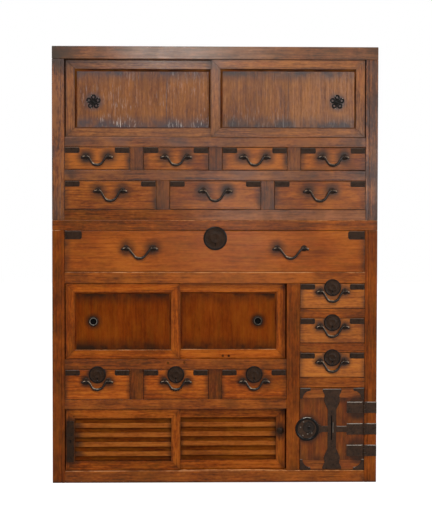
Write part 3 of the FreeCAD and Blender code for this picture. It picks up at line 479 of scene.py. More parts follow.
# The top board carries a painted sheen, a pale reflection, across its middle.
CASE_TOP = wood(
    "upper_case_top", (80, 24, 6), (180, 50, 10), (290, 92, 20), grime_and_shade=(35, 19, 8), ends=0.85,
    end_reach=0.17, streaks=0.9, painted_sheen=0.3, shine=0.22, patch=1.6, sheen_span=(0.15, 0.3, 0.6, 0.85))
UPPER_POST = wood(
    "upper_posts_oiled", (50, 13, 2), (145, 35, 4), (250, 70, 9), ends=0.55, side_reach=0.006,
    bloom=0.3, patch=1.7)
CASE_LOWER = wood(
    "lower_case_oiled", (110, 23, 2), (270, 57, 4), (420, 105, 10), end_reach=0.04, roughness=0.2,
    foot_shade=0.8, shine=0.12, patch=1.4)
LOWER_STILE = wood(
    "lower_stiles_oiled", (120, 23, 2), (262, 52, 4), (390, 93, 9), end_reach=0.04, sides=0.4,
    side_reach=0.007, roughness=0.2, streaks=0.6, foot_shade=0.8, shine=0.07)
LOWER_POST = wood(
    "lower_posts_oiled", (55, 11, 2), (150, 29.5, 3), (270, 60, 6), ends=0.8, end_reach=0.04,
    sides=0.5, roughness=0.2, shine=0.08)
DRAWER_FACE = wood(
    "drawer_face_oiled", (100, 19, 2), (216, 51, 4), (360, 99, 9), ends=0.75, end_reach=0.025,
    sides=0.5, side_reach=0.009, seam_and_gap_shade=0.7, streaks=0.7, halo=0.033, shine=0.18, patch=1.7)
ROBE_FACE = wood(
    "robe_drawer_face_oiled", (140, 28, 2), (257, 55, 4), (400, 101, 9), ends=0.75, sides=0.3,
    seam_and_gap_shade=0.35, streaks=0.5, halo=0.033, shine=0.13, patch=1.2)
LOCK_FACE = wood(
    "lock_drawer_face_oiled", (140, 25, 2), (292, 56, 4), (480, 114, 10), ends=0.7, end_reach=0.02,
    sides=0.4, seam_and_gap_shade=0.65, streaks=0.75, shine=0.09, patch=1.3)
COLUMN_FACE = wood(
    "column_drawer_face_oiled", (180, 40, 3), (370, 100, 9), (530, 160, 15), ends=0.7,
    end_reach=0.02, sides=0.4, seam_and_gap_shade=0.65, streaks=0.6, patch=1.6)
DRAWER_BOX = wood(
    "drawer_box_bare", (300, 170, 80), (450, 280, 150), (580, 400, 240), ends=0.2, sides=0.15,
    roughness=0.6, streaks=0.6, shine=0.35)
UPPER_FRAME = wood(
    "upper_door_frame", (75, 21, 4), (160, 47, 7), (275, 90, 14), grime_and_shade=(30, 17, 10), ends=0.8,
    end_reach=0.05, bloom=0.1, shine=0.24, patch=1.5)
RIGHT_FRAME = wood(
    "upper_right_door_frame", (90, 25, 4), (198, 59, 9), (320, 106, 18), grime_and_shade=(30, 17, 10),
    ends=0.7, end_reach=0.04, bloom=0.1, shine=0.28, patch=1.5)
UPPER_PANEL = wood(
    "upper_door_panel", (95, 27, 6), (170, 53, 10), (255, 90, 20), grime_and_shade=(45, 27, 23), ends=1.2,
    end_reach=0.055, sides=0, seam_and_gap_shade=0.5, brush=0.6, roughness=0.22, streaks=0.85, dust_and_glints=0.15, red=0.1)
# The left door's panel: many pale streaks, both scratch marks and painted glints.
PALE_STREAKED_PANEL = wood(
    "upper_door_panel_scratched", (100, 28, 6), (178, 55, 10), (265, 92, 20), grime_and_shade=(57, 37, 37),
    ends=1.25, end_reach=0.055, sides=0, seam_and_gap_shade=0.5, brush=0.6, roughness=0.22, streaks=0.85,
    dust_and_glints=0.85, red=0.1)
LOWER_FRAME = wood(
    "lower_door_frame", (140, 26, 2), (298, 60, 4), (440, 107, 9), ends=0.5, end_reach=0.035,
    roughness=0.2, streaks=0.75, shine=0.08, patch=1.4)
LOWER_PANEL = wood(
    "lower_door_panel", (85, 14, 1), (150, 25, 1.5), (220, 42, 3), ends=0.9, end_reach=0.05,
    sides=0.3, side_reach=0.02, seam_and_gap_shade=0.4, roughness=0.2, streaks=0.4, red=0.1, shine=0.03,
    yellow=(280, 85, 6))
SLAT_FRAME = wood(
    "slat_door_frame", (100, 20, 2), (240, 48, 4), (380, 92, 9), end_reach=0.035, roughness=0.2,
    streaks=0.9, halo=0.03, shine=0.07)
SLAT = wood(
    "door_slat", (140, 31, 3), (250, 60, 6), (370, 105, 13), end_reach=0.02, sides=0.2,
    side_reach=0.003, roughness=0.2, streaks=0.7, halo=0.04, shine=0.08)
SLAT_BACK = wood(
    "door_slat_back", (50, 9, 1), (88, 16.5, 1), (135, 30, 2), ends=0.4, roughness=0.4, streaks=1,
    shine=0.03)
SAFE_FACE = wood(
    "safe_door_oiled", (60, 12, 2), (143, 30.5, 4), (250, 62, 8), sides=0.5, side_reach=0.012,
    roughness=0.2, streaks=0.45, shine=0.12)
SAFE_BATTEN = wood(
    "safe_battens_oiled", (80, 17, 2), (200, 46, 6), (330, 90, 12), sides=0.4, roughness=0.2,
    streaks=0.6, shine=0.14)
# Pale wood on upward-facing edges: a painted highlight, with wear on handled rails.
ARRIS_WEAR_AND_HIGHLIGHT = wood(
    "worn_wood_edge", (200, 60, 12), (420, 150, 40), (680, 310, 120), end_reach=0.06, sides=0,
    roughness=0.3, streaks=1.6, shine=0.15)
# Near-black wood for the painted shadow strips on the upper doors' panels, and for knots.
PANEL_SHADE_AND_KNOT = wood(
    "dark_panel_corner", (20, 5, 1), (40, 10, 2), (70, 18, 3), ends=0, sides=0, roughness=0.6,
    streaks=1, shine=0.03)
# Dark brown wood for the painted shadow strips on the lower doors' panels.
BROWN_PANEL_SHADE = wood(
    "brown_panel_corner", (50, 8, 1), (85, 13, 1), (130, 22, 2), ends=0, sides=0, roughness=0.6,
    streaks=1, shine=0.03)
IRON_PLATE = iron(
    "black_iron_plate", (9, 4.5, 2), (39, 17.5, 8), roughness=0.3, shine=0.07)
IRON_BROWN = iron(
    "brown_iron", (12, 6, 3.5), (52, 25, 12.5), roughness=0.32, shine=0.1)
IRON_RUBBED = iron(
    "black_iron_rubbed", (6, 3.5, 2), (26, 14, 8), roughness=0.2, rust=0.25, pits=0.25, shine=0.14)
IRON_BLACK = iron(
    "black_iron_pierced", (2, 1.5, 1), (9, 6, 4), roughness=0.17, rust=0.1, pits=0.2, shine=0.08)
# Pale iron for the painted highlight along the bails.
BAIL_HIGHLIGHT = iron(
    "bail_rubbed_line", (90, 57, 34), (440, 300, 180), roughness=0.35, rust=0.2, metallic=0.4,
    pits=0.3)
# Pale iron: rubbed nails, bar and rim, and the painted highlight on plates' upper edges.
IRON_EDGE_WEAR_AND_HIGHLIGHT = iron(
    "iron_edge_rubbed", (50, 40, 30), (170, 140, 110), rust=0.2, metallic=0.6, pits=0.3)
# Bright iron: wear on nail heads and rims, and painted highlights on the upper edges of hinge
# leaves, straps and the safe's lock.
IRON_WORN_AND_HIGHLIGHT = iron(
    "iron_worn_bright", (120, 105, 85), (330, 290, 240), rust=0.1, metallic=0.6, pits=0.3)
# Near-black painted shadow for keyholes, a slot and the well of a cup pull.
HOLE_SHADOW = iron(
    "keyhole_shadow", (1, 1, 1), (3, 3, 3), roughness=0.8, shine=0.05)

record = frame["record"]
BODY_OF = {node: body for body, members in record["behaviour"]["bodies"].items()
           for node in members}


# Iron: shapes in millimetres, in the plane of the front, with heights towards the viewer.

def to_frame(bm, x, y, z):
    """Scale a shape drawn in millimetres to metres and set it at a place of the frame."""
    matrix = Matrix.Translation((x, y, z)) @ Matrix.Scale(MM, 4)
    bmesh.ops.transform(bm, matrix=matrix, verts=bm.verts)
    return bm


def plate(points, thickness, edge=0.5):
    """A flat plate with a rounded front edge, from its outline of (x, z) points."""
    bm = bmesh.new()
    face = bm.faces.new([bm.verts.new((x, 0, z)) for x, z in points])
    grown = bmesh.ops.extrude_face_region(bm, geom=[face])
    front = [item for item in grown["geom"] if isinstance(item, bmesh.types.BMVert)]
    bmesh.ops.translate(bm, vec=(0, -thickness, 0), verts=front)
    bmesh.ops.recalc_face_normals(bm, faces=bm.faces)
    rim = [edge_line for edge_line in bm.edges
           if all(vertex.co.y < -thickness / 2 for vertex in edge_line.verts)]
    bmesh.ops.bevel(bm, geom=rim, offset=edge, segments=3, profile=0.5, affect="EDGES",
                    clamp_overlap=True)
    return bm


def rectangle(x0, x1, z0, z1):
    return [(x0, z0), (x1, z0), (x1, z1), (x0, z1)]


def skin(bm, rings):
    """Faces between neighbouring rings of points, where a ring may be a single point."""
    for low, high in zip(rings[:-1], rings[1:]):
        count = max(len(low), len(high))
        for i in range(count):
            j = (i + 1) % count
            corners = (low[i % len(low)], low[j % len(low)], high[j % len(high)],
                       high[i % len(high)])
            bm.faces.new(list(dict.fromkeys(corners)))


def lathe(profile, sides, about="Y"):
    """Turn (radius, height) points about the line that points at the viewer, or about X."""
    bm = bmesh.new()
    rings = []
    for radius, height in profile:
        if not radius:
            rings.append([bm.verts.new((0, -height, 0))])
            continue
        ring = []
        for i in range(sides):
            angle = 2 * math.pi * i / sides
            ring.append(bm.verts.new((radius * math.cos(angle), -height, radius * math.sin(angle))))
        rings.append(ring)
    skin(bm, rings)
    if about == "X":
        bmesh.ops.rotate(bm, matrix=Matrix.Rotation(math.radians(90), 3, "Z"), verts=bm.verts)
    bmesh.ops.recalc_face_normals(bm, faces=bm.faces)
    return bm


def sweep(stations, sides):
    """A bar of changing thickness along (x, z, radius) points in the plane of the front."""
    bm = bmesh.new()
    rings = []
    for i, (x, z, radius) in enumerate(stations):
        before, after = stations[max(i - 1, 0)], stations[min(i + 1, len(stations) - 1)]
        along = Vector((after[0] - before[0], 0, after[1] - before[1])).normalized()
        across = Vector((-along.z, 0, along.x))
        ring = []
        for side in range(sides):
            angle = 2 * math.pi * side / sides
            offset = across * (radius * math.cos(angle)) + Vector((0, radius * math.sin(angle), 0))
            ring.append(bm.verts.new(Vector((x, 0, z)) + offset))
        rings.append(ring)
    skin(bm, rings)
    bm.faces.new(rings[0])
    bm.faces.new(rings[-1])
    bmesh.ops.recalc_face_normals(bm, faces=bm.faces)
    return bm


def joint_place(key, name):
    return next(joint for joint in frame["joints"] if joint[key] == name)["pos_m"]


# Bails: span between the eyes, drop of the bar below them, and slope in degrees at its steepest.
BAIL_SIZES = {"small": (74.0, 28.0, 60), "wide": (82.0, 34.0, 60), "robe": (90.0, 34.0, 52),
              "lock": (74.0, 28.0, 60), "column": (82.0, 34.0, 60)}
BAIL_BAR, BAIL_NECK, BAIL_PIN, BAIL_KNOB = 5.0, 3.7, 2.5, 4.4
HUMP, DROOP, PIN_END = 8.0, 15.0, 3.0
DROOP_TURN = math.radians(40)
ARC_STEPS, KNOB_STEPS, BAIL_SIDES = 9, 5, 18
KNOB_TIP = 0.3
# A painted highlight, in pale iron, lies on the side of a bail that looks this way, towards the
# light.
HIGHLIGHT_SIDE, HIGHLIGHT_SHARE = Vector((0.33, -0.7, 0.63)), 0.9


def smooth_step(share):
    return share * share * (3 - 2 * share)


def arc(x, z, radius, turns, bars, shares, ease=smooth_step):
    """Points on an arc that is level at (x, z), between two turns and two thicknesses."""
    points = []
    for share in shares:
        angle = turns[0] + (turns[1] - turns[0]) * share
        bar = bars[0] + (bars[1] - bars[0]) * ease(share)
        points.append((x + radius * math.sin(angle), z + radius * (1 - math.cos(angle)), bar))
    return points


def bail_line(span, drop, slope):
    """Half of a bail from the middle of its bar out to its knob, as (x, z, radius)."""
    inner, outer = span / 2 - PIN_END, span / 2 + PIN_END
    sine, cosine = math.sin(slope), math.cos(slope)
    lift = (1 - cosine) / math.tan(slope)
    belly = (inner - drop / math.tan(slope)) / (sine - lift) - HUMP
    shares = [i / ARC_STEPS for i in range(ARC_STEPS + 1)]
    half = arc(0, -drop, belly, (0, slope), (BAIL_BAR, BAIL_NECK), shares)
    half += arc(inner, 0, -HUMP, (slope, 0), (BAIL_NECK, BAIL_PIN), shares[1:], float)
    half.append((outer, 0.0, BAIL_PIN))
    half += arc(outer, 0, -DROOP, (0, -DROOP_TURN), (BAIL_PIN, BAIL_KNOB), shares[1:])
    tip_x, tip_z, _ = half[-1]
    for i in range(1, KNOB_STEPS + 1):
        turn = math.pi / 2 * i / KNOB_STEPS
        reach = BAIL_KNOB * math.sin(turn)
        half.append((tip_x + reach * math.cos(DROOP_TURN), tip_z - reach * math.sin(DROOP_TURN),
                     max(BAIL_KNOB * math.cos(turn), KNOB_TIP)))
    return half


def bail_piece(name, span, drop, slope):
    half = bail_line(span, drop, math.radians(slope))
    line = [(-x, z, radius) for x, z, radius in reversed(half[1:])] + half
    bar = to_frame(sweep(line, BAIL_SIDES), *joint_place("child", name))
    bar.normal_update()
    # Faces that look towards the light get a pale painted highlight.
    edge_mark = [face for face in bar.faces if face.normal.dot(HIGHLIGHT_SIDE) > HIGHLIGHT_SHARE]
    piece = Piece(name)
    piece.add(bar, IRON_RUBBED, smooth=True, edges=edge_mark, edge_material=BAIL_HIGHLIGHT)
    piece.finish()


# Small iron parts, their sizes in millimetres.
NAIL_SET = 0.0002
NAIL_INSET = 5.0
EYE_MARK, DISC_MARK_INSET = 0.009, 0.004
BIG_LOCK = 0.035


def nail(radius=1.9, height=1.1):
    return lathe([(radius, 0.0), (radius * 0.86, height * 0.55), (radius * 0.5, height * 0.92),
                  (0, height)], 12)


def add_nails(piece, places, x, y, z, radius=1.9, height=1.1, material=IRON_RUBBED):
    """Nail heads at (x, z) places in millimetres from a point of the frame."""
    for dx, dz in places:
        piece.add(to_frame(nail(radius, height), x + dx * MM, y, z + dz * MM), material,
                  smooth=True)


def ring_of(count, radius, first=0.0):
    """Places on a circle."""
    angles = [first + 2 * math.pi * i / count for i in range(count)]
    return [(radius * math.cos(angle), radius * math.sin(angle)) for angle in angles]


def lock_disc(radius):
    """A round lock plate with a raised rim and ring, and the faces of its rim."""
    shape = [(0.0, 2.0), (0.3, 2.0), (0.34, 2.35), (0.4, 2.35), (0.44, 1.9), (0.8, 1.75),
             (0.86, 2.2), (0.93, 2.3), (0.975, 1.9), (1.0, 1.1), (1.0, 0.0)]
    disc = lathe([(share * radius, height) for share, height in shape], 56)
    rim = [face for face in disc.faces if face.calc_center_median().length > 0.84 * radius]
    return disc, rim


def keyhole(height):
    """A keyhole as a near-black plate, its darkness a painted shadow: a round hole over a slot."""
    angles = [math.radians(-60 + 300 * i / 13) for i in range(14)]
    points = [(2.6 * math.cos(angle), 2.6 * math.sin(angle)) for angle in angles]
    return plate(points + [(-1.3, -height), (1.3, -height)], 0.25, 0.05)


def cover_drop():
    """The small drop that swings over a keyhole."""
    return lathe([(3.4, 0.0), (3.4, 0.9), (2.6, 1.8), (1.2, 2.3), (0, 2.4)], 18)


def eye_ring():
    """The ring that holds a bail's pin, round the pin's line."""
    profile = [(2.58, -2.5), (4.6, -2.5), (5.2, -1.7), (5.4, 0.0), (5.2, 1.7), (4.6, 2.5),
               (2.58, 2.5), (2.58, -2.5)]
    return lathe(profile, 28, about="X")


def washer():
    return lathe([(10.5, 0.0), (10.5, 0.5), (9.6, 1.2), (7.0, 1.6), (4.0, 1.75), (0, 1.75)], 28)


def lit(faces):
    """The narrow faces that look up and forward, where light from above catches: the pale materials
    given to them paint a highlight.
    """
    return [face for face in faces
            if face.normal.z > 0.25 and face.normal.y < -0.2 and abs(face.normal.x) < 0.2]


def add_lock_plate(piece, x, face, z, radius):
    """A drawer's round lock plate with its keyhole and nails, and a drop on the small ones."""
    disc, rim = lock_disc(radius / MM)
    piece.add(to_frame(disc, x, face, z), IRON_PLATE, smooth=True, edges=rim,
              edge_material=IRON_BLACK)
    big = radius > BIG_LOCK
    hole, below = (keyhole(9.0), 0.017) if big else (keyhole(6.0), 0.012)
    piece.add(to_frame(hole, x, face - 0.0021, z - below), HOLE_SHADOW)
    if not big:
        piece.add(to_frame(cover_drop(), x, face - 0.0018, z - 0.0205), IRON_RUBBED, smooth=True)
    places = ring_of(4, radius * 0.64 / MM, math.radians(45))
    add_nails(piece, places, x, face - 0.0019, z, 1.6, 0.9)


def iron_drawer(drawer):
    """A drawer's irons. Gives back the marks that they leave on its front."""
    node = drawer + "_ironwork"
    piece = Piece(node)
    marks = []
    face = None
    for number, bm in enumerate(solids_of(node)):
        low, high = extent(bm)
        (x, y, z), span = (low + high) / 2, high - low
        flat = span.y < 0.002
        if number < 2:
            face = high.y
            # The plates' upper edges get a pale painted highlight.
            piece.add(bm, IRON_PLATE, edges=lit(soften(bm, 0.0007, 3)), edge_material=IRON_EDGE_WEAR_AND_HIGHLIGHT)
            reach_x, reach_z = span.x / 2 / MM - NAIL_INSET, span.z / 2 / MM - NAIL_INSET
            places = [(side * reach_x, end * reach_z) for side in (-1, 1) for end in (-1, 1)]
            add_nails(piece, places, x, low.y + NAIL_SET, z)
        elif flat and abs(span.x - span.z) < 0.001 and span.x < 0.017:
            bm.free()
            piece.add(to_frame(washer(), x, face, z), IRON_PLATE, smooth=True)
            marks.append((x, z, EYE_MARK))
        elif span.x < 0.0055:
            bm.free()
            piece.add(to_frame(eye_ring(), x, y, z), IRON_RUBBED, smooth=True)
        elif flat and span.x > 0.05:
            bm.free()
            radius = span.x / 2
            add_lock_plate(piece, x, face, z, radius)
            marks.append((x, z, radius - DISC_MARK_INSET))
        else:
            soften(bm, 0.0006)
            piece.add(bm, IRON_PLATE)
    piece.finish()
    return marks


def flower_pull(node):
    """A pierced rosette of five ringed petals round a boss."""
    low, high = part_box(node)
    x, face, z = (low.x + high.x) / 2, high.y, high.z - 0.025
    bm = solids_of(node)[0]
    soften(bm, 0.0004)
    piece = Piece(node)
    piece.add(bm, IRON_BLACK)
    top = math.radians(90)
    for dx, dz in ring_of(5, 16.0, top):
        ring = lathe([(4.05, 1.2), (4.4, 2.6), (5.6, 3.2), (7.2, 2.9), (8.4, 2.0), (8.6, 1.2)], 22)
        piece.add(to_frame(ring, x + dx * MM, face, z + dz * MM), IRON_BLACK, smooth=True)
    add_nails(piece, ring_of(5, 21.5, top + 0.3), x, face - 0.0022, z, 1.5, 1.3, IRON_WORN_AND_HIGHLIGHT)
    boss = lathe([(5.5, 1.5), (5.2, 2.4), (4.2, 3.0), (2.2, 3.4), (0, 3.5)], 22)
    piece.add(to_frame(boss, x, face, z), IRON_BLACK, smooth=True)
    piece.finish()
    return [(x, z, 0.016)]


def cup_pull(node, rim_iron):
    """A round finger pull with a beaded rim round its cup."""
    low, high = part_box(node)
    x, face, z = (low.x + high.x) / 2, low.y + 0.0018, (low.z + high.z) / 2
    cup = [(0, -5.8), (12.4, -5.8), (12.5, -0.2), (17.0, 0.0), (17.0, 0.9), (15.9, 1.7),
           (14.2, 1.8), (12.6, 1.8), (11.3, 1.8), (10.4, 0.8), (9.6, -0.9), (8.6, -3.2),
           (6.6, -4.1), (0, -4.3)]
    rim = [(12.4, 1.6), (12.3, 2.1), (11.7, 2.5), (11.1, 2.3), (10.8, 1.6), (11.4, 0.8),
           (12.4, 1.6)]
    well = [(0, -4.1), (6.5, -3.9), (8.5, -3.0), (9.5, -0.7), (10.3, 0.9), (10.5, 0.7),
            (9.7, -0.9), (8.6, -3.3), (6.6, -4.2), (0, -4.4)]
    piece = Piece(node)
    # The cup's well is lined with near-black painted shadow.
    for profile, material in ((cup, IRON_PLATE), (rim, rim_iron), (well, HOLE_SHADOW)):
        piece.add(to_frame(lathe(profile, 48), x, face, z), material, smooth=True)
    add_nails(piece, ring_of(20, 15.0), x, face - 0.0015, z, 1.15, 1.0)
    piece.finish()
    return [(x, z, 0.012)]


def slat_plate():
    """The tall lock plate on the left slatted door, with its nails and keyhole."""
    node = "slat_left_plate"
    low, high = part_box(node)
    x, _, z = (low + high) / 2
    half, _, tall = (high - low) / 2 / MM
    clip = 3.0
    outline = [(-half, -tall + clip), (-half + clip, -tall), (half - clip, -tall),
               (half, -tall + clip), (half, tall - clip), (half - clip, tall),
               (-half + clip, tall), (-half, tall - clip)]
    piece = Piece(node)
    piece.add(to_frame(plate(outline, 1.8, 0.6), x, high.y, z), IRON_PLATE)
    places = ((-6, 22), (5, 22), (-4, -16), (6, -16), (-5, 58), (5, 58), (-5, -58), (5, -58))
    add_nails(piece, places, x, low.y + 0.0001, z, 2.2, 1.4)
    piece.add(to_frame(keyhole(7.0), x, low.y, z + 3 * MM), HOLE_SHADOW)
    piece.finish()
    return [(x, z + dz * MM, 0.022) for dz in (-48, 0, 48)]


def slat_knob():
    """The flat knob on the right slatted door."""
    node = "slat_right_knob"
    low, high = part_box(node)
    x, _, z = (low + high) / 2
    profile = [(12.0, 0.0), (12.0, 0.9), (11.0, 1.8), (8.6, 2.0), (7.6, 2.5), (6.2, 3.0),
               (3.4, 3.4), (0, 3.5)]
    piece = Piece(node)
    piece.add(to_frame(lathe(profile, 36), x, high.y, z), IRON_PLATE, smooth=True)
    piece.finish()
    return [(x, z, 0.011)]


# The safe door's hinge leaves lie at three levels, and the pins' line stands before their plates.
HINGE_LEVELS = (-73, 0, 73)
LEAF_FACE, CASE_LEAF_FACE = 0.0024, 0.0027
LEAF_END, LEAF_PIN_GAP = 0.0015, 0.008
LEAF_EDGE = 0.0013


def leaf_highlight(piece, x0, x1, y, top):
    """A pale strip painted on a hinge leaf's upper edge as its highlight."""
    top /= MM
    outline = rectangle(x0 / MM, x1 / MM, top - 2.3, top - 0.5)
    piece.add(to_frame(plate(outline, 0.35, 0.12), 0, y, 0), IRON_WORN_AND_HIGHLIGHT)


def leaf_nails(piece, columns, x, y, z):
    for level in HINGE_LEVELS:
        places = [(dx, level + dz) for dx in columns for dz in (12, -12)]
        add_nails(piece, places, x, y + NAIL_SET, z, 1.8, 1.1)


def add_safe_lock(piece, x, face, z):
    """The round plate of the safe's lock, with a raised rim and a ring round its keyhole."""
    disc = [(1.0, 0.0), (1.0, 0.4), (0.965, 1.5), (0.9, 1.9), (0.84, 1.4), (0.8, 0.5), (0.78, 0.2)]
    rim = to_frame(lathe([(share * 40.0, height) for share, height in disc], 56), x, face, z)
    rim.normal_update()
    # The rim's upper faces get a pale painted highlight.
    upper = [bit for bit in lit(rim.faces) if bit.calc_center_median().z > z]
    piece.add(rim, IRON_BLACK, smooth=True, edges=upper, edge_material=IRON_WORN_AND_HIGHLIGHT)
    ring = lathe([(20.0, 0.0), (19.6, 1.3), (18.0, 2.2), (16.6, 1.6), (16.0, 0.7), (6.5, 0.8),
                  (6.0, 2.0), (4.0, 2.8), (0, 3.0)], 40)
    piece.add(to_frame(ring, x + 0.006, face + 0.0001, z + 0.006), IRON_RUBBED, smooth=True)
    places = ((2, -17), (16, -14), (-22, 6), (-12, 24), (-14, -22))
    add_nails(piece, places, x, face + NAIL_SET, z, 2.6, 1.6, IRON_EDGE_WEAR_AND_HIGHLIGHT)
    piece.add(to_frame(keyhole(8.0), x + 0.006, face - 0.0030, z + 0.006), HOLE_SHADOW)


def safe_irons():
    """The safe door's irons. Gives back the marks that they leave on it."""
    node = "safe_door_ironwork"
    piece = Piece(node)
    x, y, z = joint_place("name", "safe_door_hinge")
    for number, bm in enumerate(solids_of(node)):
        low, high = extent(bm)
        centre = (low + high) / 2
        rim = soften(bm, LEAF_EDGE if high.y - low.y < 0.003 else 0.0004, 3)
        # The upper edges of leaves, strap and plate get a pale painted highlight.
        piece.add(bm, IRON_BROWN, edges=lit(rim), edge_material=IRON_WORN_AND_HIGHLIGHT)
        if high.x > x:
            leaf_highlight(piece, low.x + LEAF_END, x - LEAF_PIN_GAP, y + LEAF_FACE, high.z)
        if number == 0:
            strap, face = centre, low.y
            half = ((-22, 108), (22, 108), (-15, 84), (15, 84), (0, 60))
            places = [(dx, sign * dz) for sign in (-1, 1) for dx, dz in half]
            add_nails(piece, places, strap.x, face + NAIL_SET, strap.z, 2.2, 1.2)
        elif number == 1:
            disc_x = low.x + 0.040
            add_safe_lock(piece, disc_x, face, centre.z)
    # The strap's slot is a painted shadow.
    slot = plate(rectangle(-2.0, 2.0, -38, 46), 0.3, 0.05)
    piece.add(to_frame(slot, strap.x - 0.0015, face, strap.z), HOLE_SHADOW)
    bar = plate(rectangle(-1.2, 1.2, -12, 22), 2.2, 0.8)
    piece.add(to_frame(bar, strap.x + 0.0035, face + 0.0001, strap.z), IRON_EDGE_WEAR_AND_HIGHLIGHT)
    leaf_nails(piece, (-52, -36, -20), x, y + LEAF_FACE, z)
    piece.finish()

    node = "case_hinge_leaves"
    piece = Piece(node)
    for bm in solids_of(node):
        low, high = extent(bm)
        # The leaves' upper edges get a pale painted highlight.
        piece.add(bm, IRON_BROWN, edges=lit(soften(bm, LEAF_EDGE, 3)), edge_material=IRON_WORN_AND_HIGHLIGHT)
        leaf_highlight(piece, x + LEAF_PIN_GAP, high.x - LEAF_END, y + CASE_LEAF_FACE, high.z)
    leaf_nails(piece, (14, 30), x, y + CASE_LEAF_FACE, z)
    piece.finish()
    return [(disc_x, z, 0.036), (x - 0.02, z + 0.073, 0.03), (x - 0.02, z - 0.073, 0.03)]


# Wood. A board is known by its place and its size in metres.

PLANKS = (UPPER_PANEL, PALE_STREAKED_PANEL, LOWER_PANEL)
FACES = {"small": DRAWER_FACE, "wide": DRAWER_FACE, "robe": ROBE_FACE, "lock": LOCK_FACE,
         "column": COLUMN_FACE}
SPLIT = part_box("upper_case")[0].z
ROBE_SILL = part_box("robe_drawer_box")[0].z
FRONT_ZONE = -0.21
BAR_GROWTH = 0.0025
ON_LINE = 0.0005
PANEL_PLAY = 0.0002
OUTER_EDGE, RAIL_EDGE, BOARD_EDGE = 0.0018, 0.0014, 0.0007
# Painted shadow strips along a door's panel, where its frame shades the recess: their wood, and
# widths at the left, right, top and bottom.
UPPER_SHADOW_STRIPS = (PANEL_SHADE_AND_KNOT, (7.5, 5.0, 8.0, 2.0))
LOWER_SHADOW_STRIPS = (BROWN_PANEL_SHADE, (5.0, 5.0, 4.5, 0.0))
RAIL_KNOTS = [(-158.0, 405.0), (-103.0, 406.5)]
DOOR_KNOTS = [(27.0, 426.0), (47.0, 426.0)]


def widen_bars(bm, low, high):
    """Move the inner corners of a frame's bars further over its panel."""
    for vertex in bm.verts:
        x, _, z = vertex.co
        left, bottom = abs(x - low.x) < ON_LINE, abs(z - low.z) < ON_LINE
        if (left or abs(x - high.x) < ON_LINE) and (bottom or abs(z - high.z) < ON_LINE):
            vertex.co.x += BAR_GROWTH if left else -BAR_GROWTH
            vertex.co.z += BAR_GROWTH if bottom else -BAR_GROWTH


def painted_shadow_strips(piece, low, high, material, widths):
    """Thin dark strips on a panel along its frame: a painted shadow in the recess."""
    left, right, top, bottom = (width * MM for width in widths)
    x0, z0 = low.x + BAR_GROWTH, low.z + BAR_GROWTH
    x1, z1 = high.x - BAR_GROWTH, high.z - BAR_GROWTH
    spans = [(x0, x0 + left, z0, z1), (x1 - right, x1, z0, z1), (x0, x1, z1 - top, z1),
             (x0, x1, z0, z0 + bottom)]
    for number, span in enumerate(spans):
        if span[1] - span[0] < MM or span[3] - span[2] < MM:
            continue
        strip = plate(rectangle(*(value / MM for value in span)), 0.25 + 0.05 * number, 0.1)
        piece.add(to_frame(strip, 0, low.y, 0), material, seed="strip %d" % number)


def add_knots(piece, places, face):
    """Small dark knots in the front face of a board, at (x, z) places in millimetres."""
    for x, z in places:
        bm = to_frame(lathe([(4.3, 0.0), (3.7, 0.2), (0, 0.25)], 16), x * MM, face, z * MM)
        piece.add(bm, PANEL_SHADE_AND_KNOT, smooth=True, seed="knot %g" % x)


def board_edges(node, low, high, bottom_bar):
    """How far a board's edges are rounded, and whether its upper edge is pale: a painted highlight,
    with wear on handled rails.
    """
    span = high - low
    in_case = node.endswith("_case")
    outer = in_case and span.x > 1.0 or min(span) > 0.029 and span.y > 0.4
    rail = in_case and low.y < FRONT_ZONE and span.z < 0.06 and span.x > 0.1
    width = OUTER_EDGE if outer else RAIL_EDGE if rail or bottom_bar else BOARD_EDGE
    handled = low.z < 0.002 or high.z > SPLIT - 0.002 or abs(high.z - ROBE_SILL) < 0.003
    rubbed_and_lit = node == "lower_case" and handled and (rail or outer)
    return min(width, min(span) / 6), bottom_bar or rubbed_and_lit


def dress_wood(node, choose, marks=(), shadow_strips=None, knots=()):
    """Rebuild a wood node board by board, each with softened edges and its own grain.

    For a board, choose gives its wood, the axis of its grain if not its longest side, and
    whether the irons mark it.
    """
    piece = Piece(node, "_wood")
    boards = solids_of(node)
    extents = [extent(bm) for bm in boards]
    planks = [box for number, box in enumerate(extents) if choose(number, *box)[0] in PLANKS]
    if planks:
        low = Vector([min(corner[i] for corner, _ in planks) for i in range(3)])
        high = Vector([max(corner[i] for _, corner in planks) for i in range(3)])
        play = Vector((PANEL_PLAY, 0, PANEL_PLAY))
        for bm in boards:
            widen_bars(bm, low - play, high + play)
        # Painted shadow strips go along the panel's frame.
        painted_shadow_strips(piece, low, high, *shadow_strips)
    for number, bm in enumerate(boards):
        low, high = extent(bm)
        material, grain, marked = choose(number, low, high)
        bottom_bar = material is LOWER_FRAME and number == 0
        width, rubbed_and_lit = board_edges(node, low, high, bottom_bar)
        rim = soften(bm, width)
        # Upward-facing edges of handled rails and bottom bars get a pale painted highlight.
        rim = lit(rim) if rubbed_and_lit else ()
        piece.add(bm, material, grain=grain, seed="%s %d" % (node, number),
                  irons=marks if marked else (), edges=rim,
                  edge_material=ARRIS_WEAR_AND_HIGHLIGHT if rim else None)
    add_knots(piece, knots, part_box(node)[0].y)
    piece.finish()


def is_post(low, high):
    return low.y < FRONT_ZONE and high.x - low.x < 0.06 and high.z - low.z < 0.13


def lower_boards(number, low, high):
    if low.y < FRONT_ZONE and high.z - low.z > 0.5:
        return LOWER_STILE, None, False
    return LOWER_POST if is_post(low, high) else CASE_LOWER, None, False


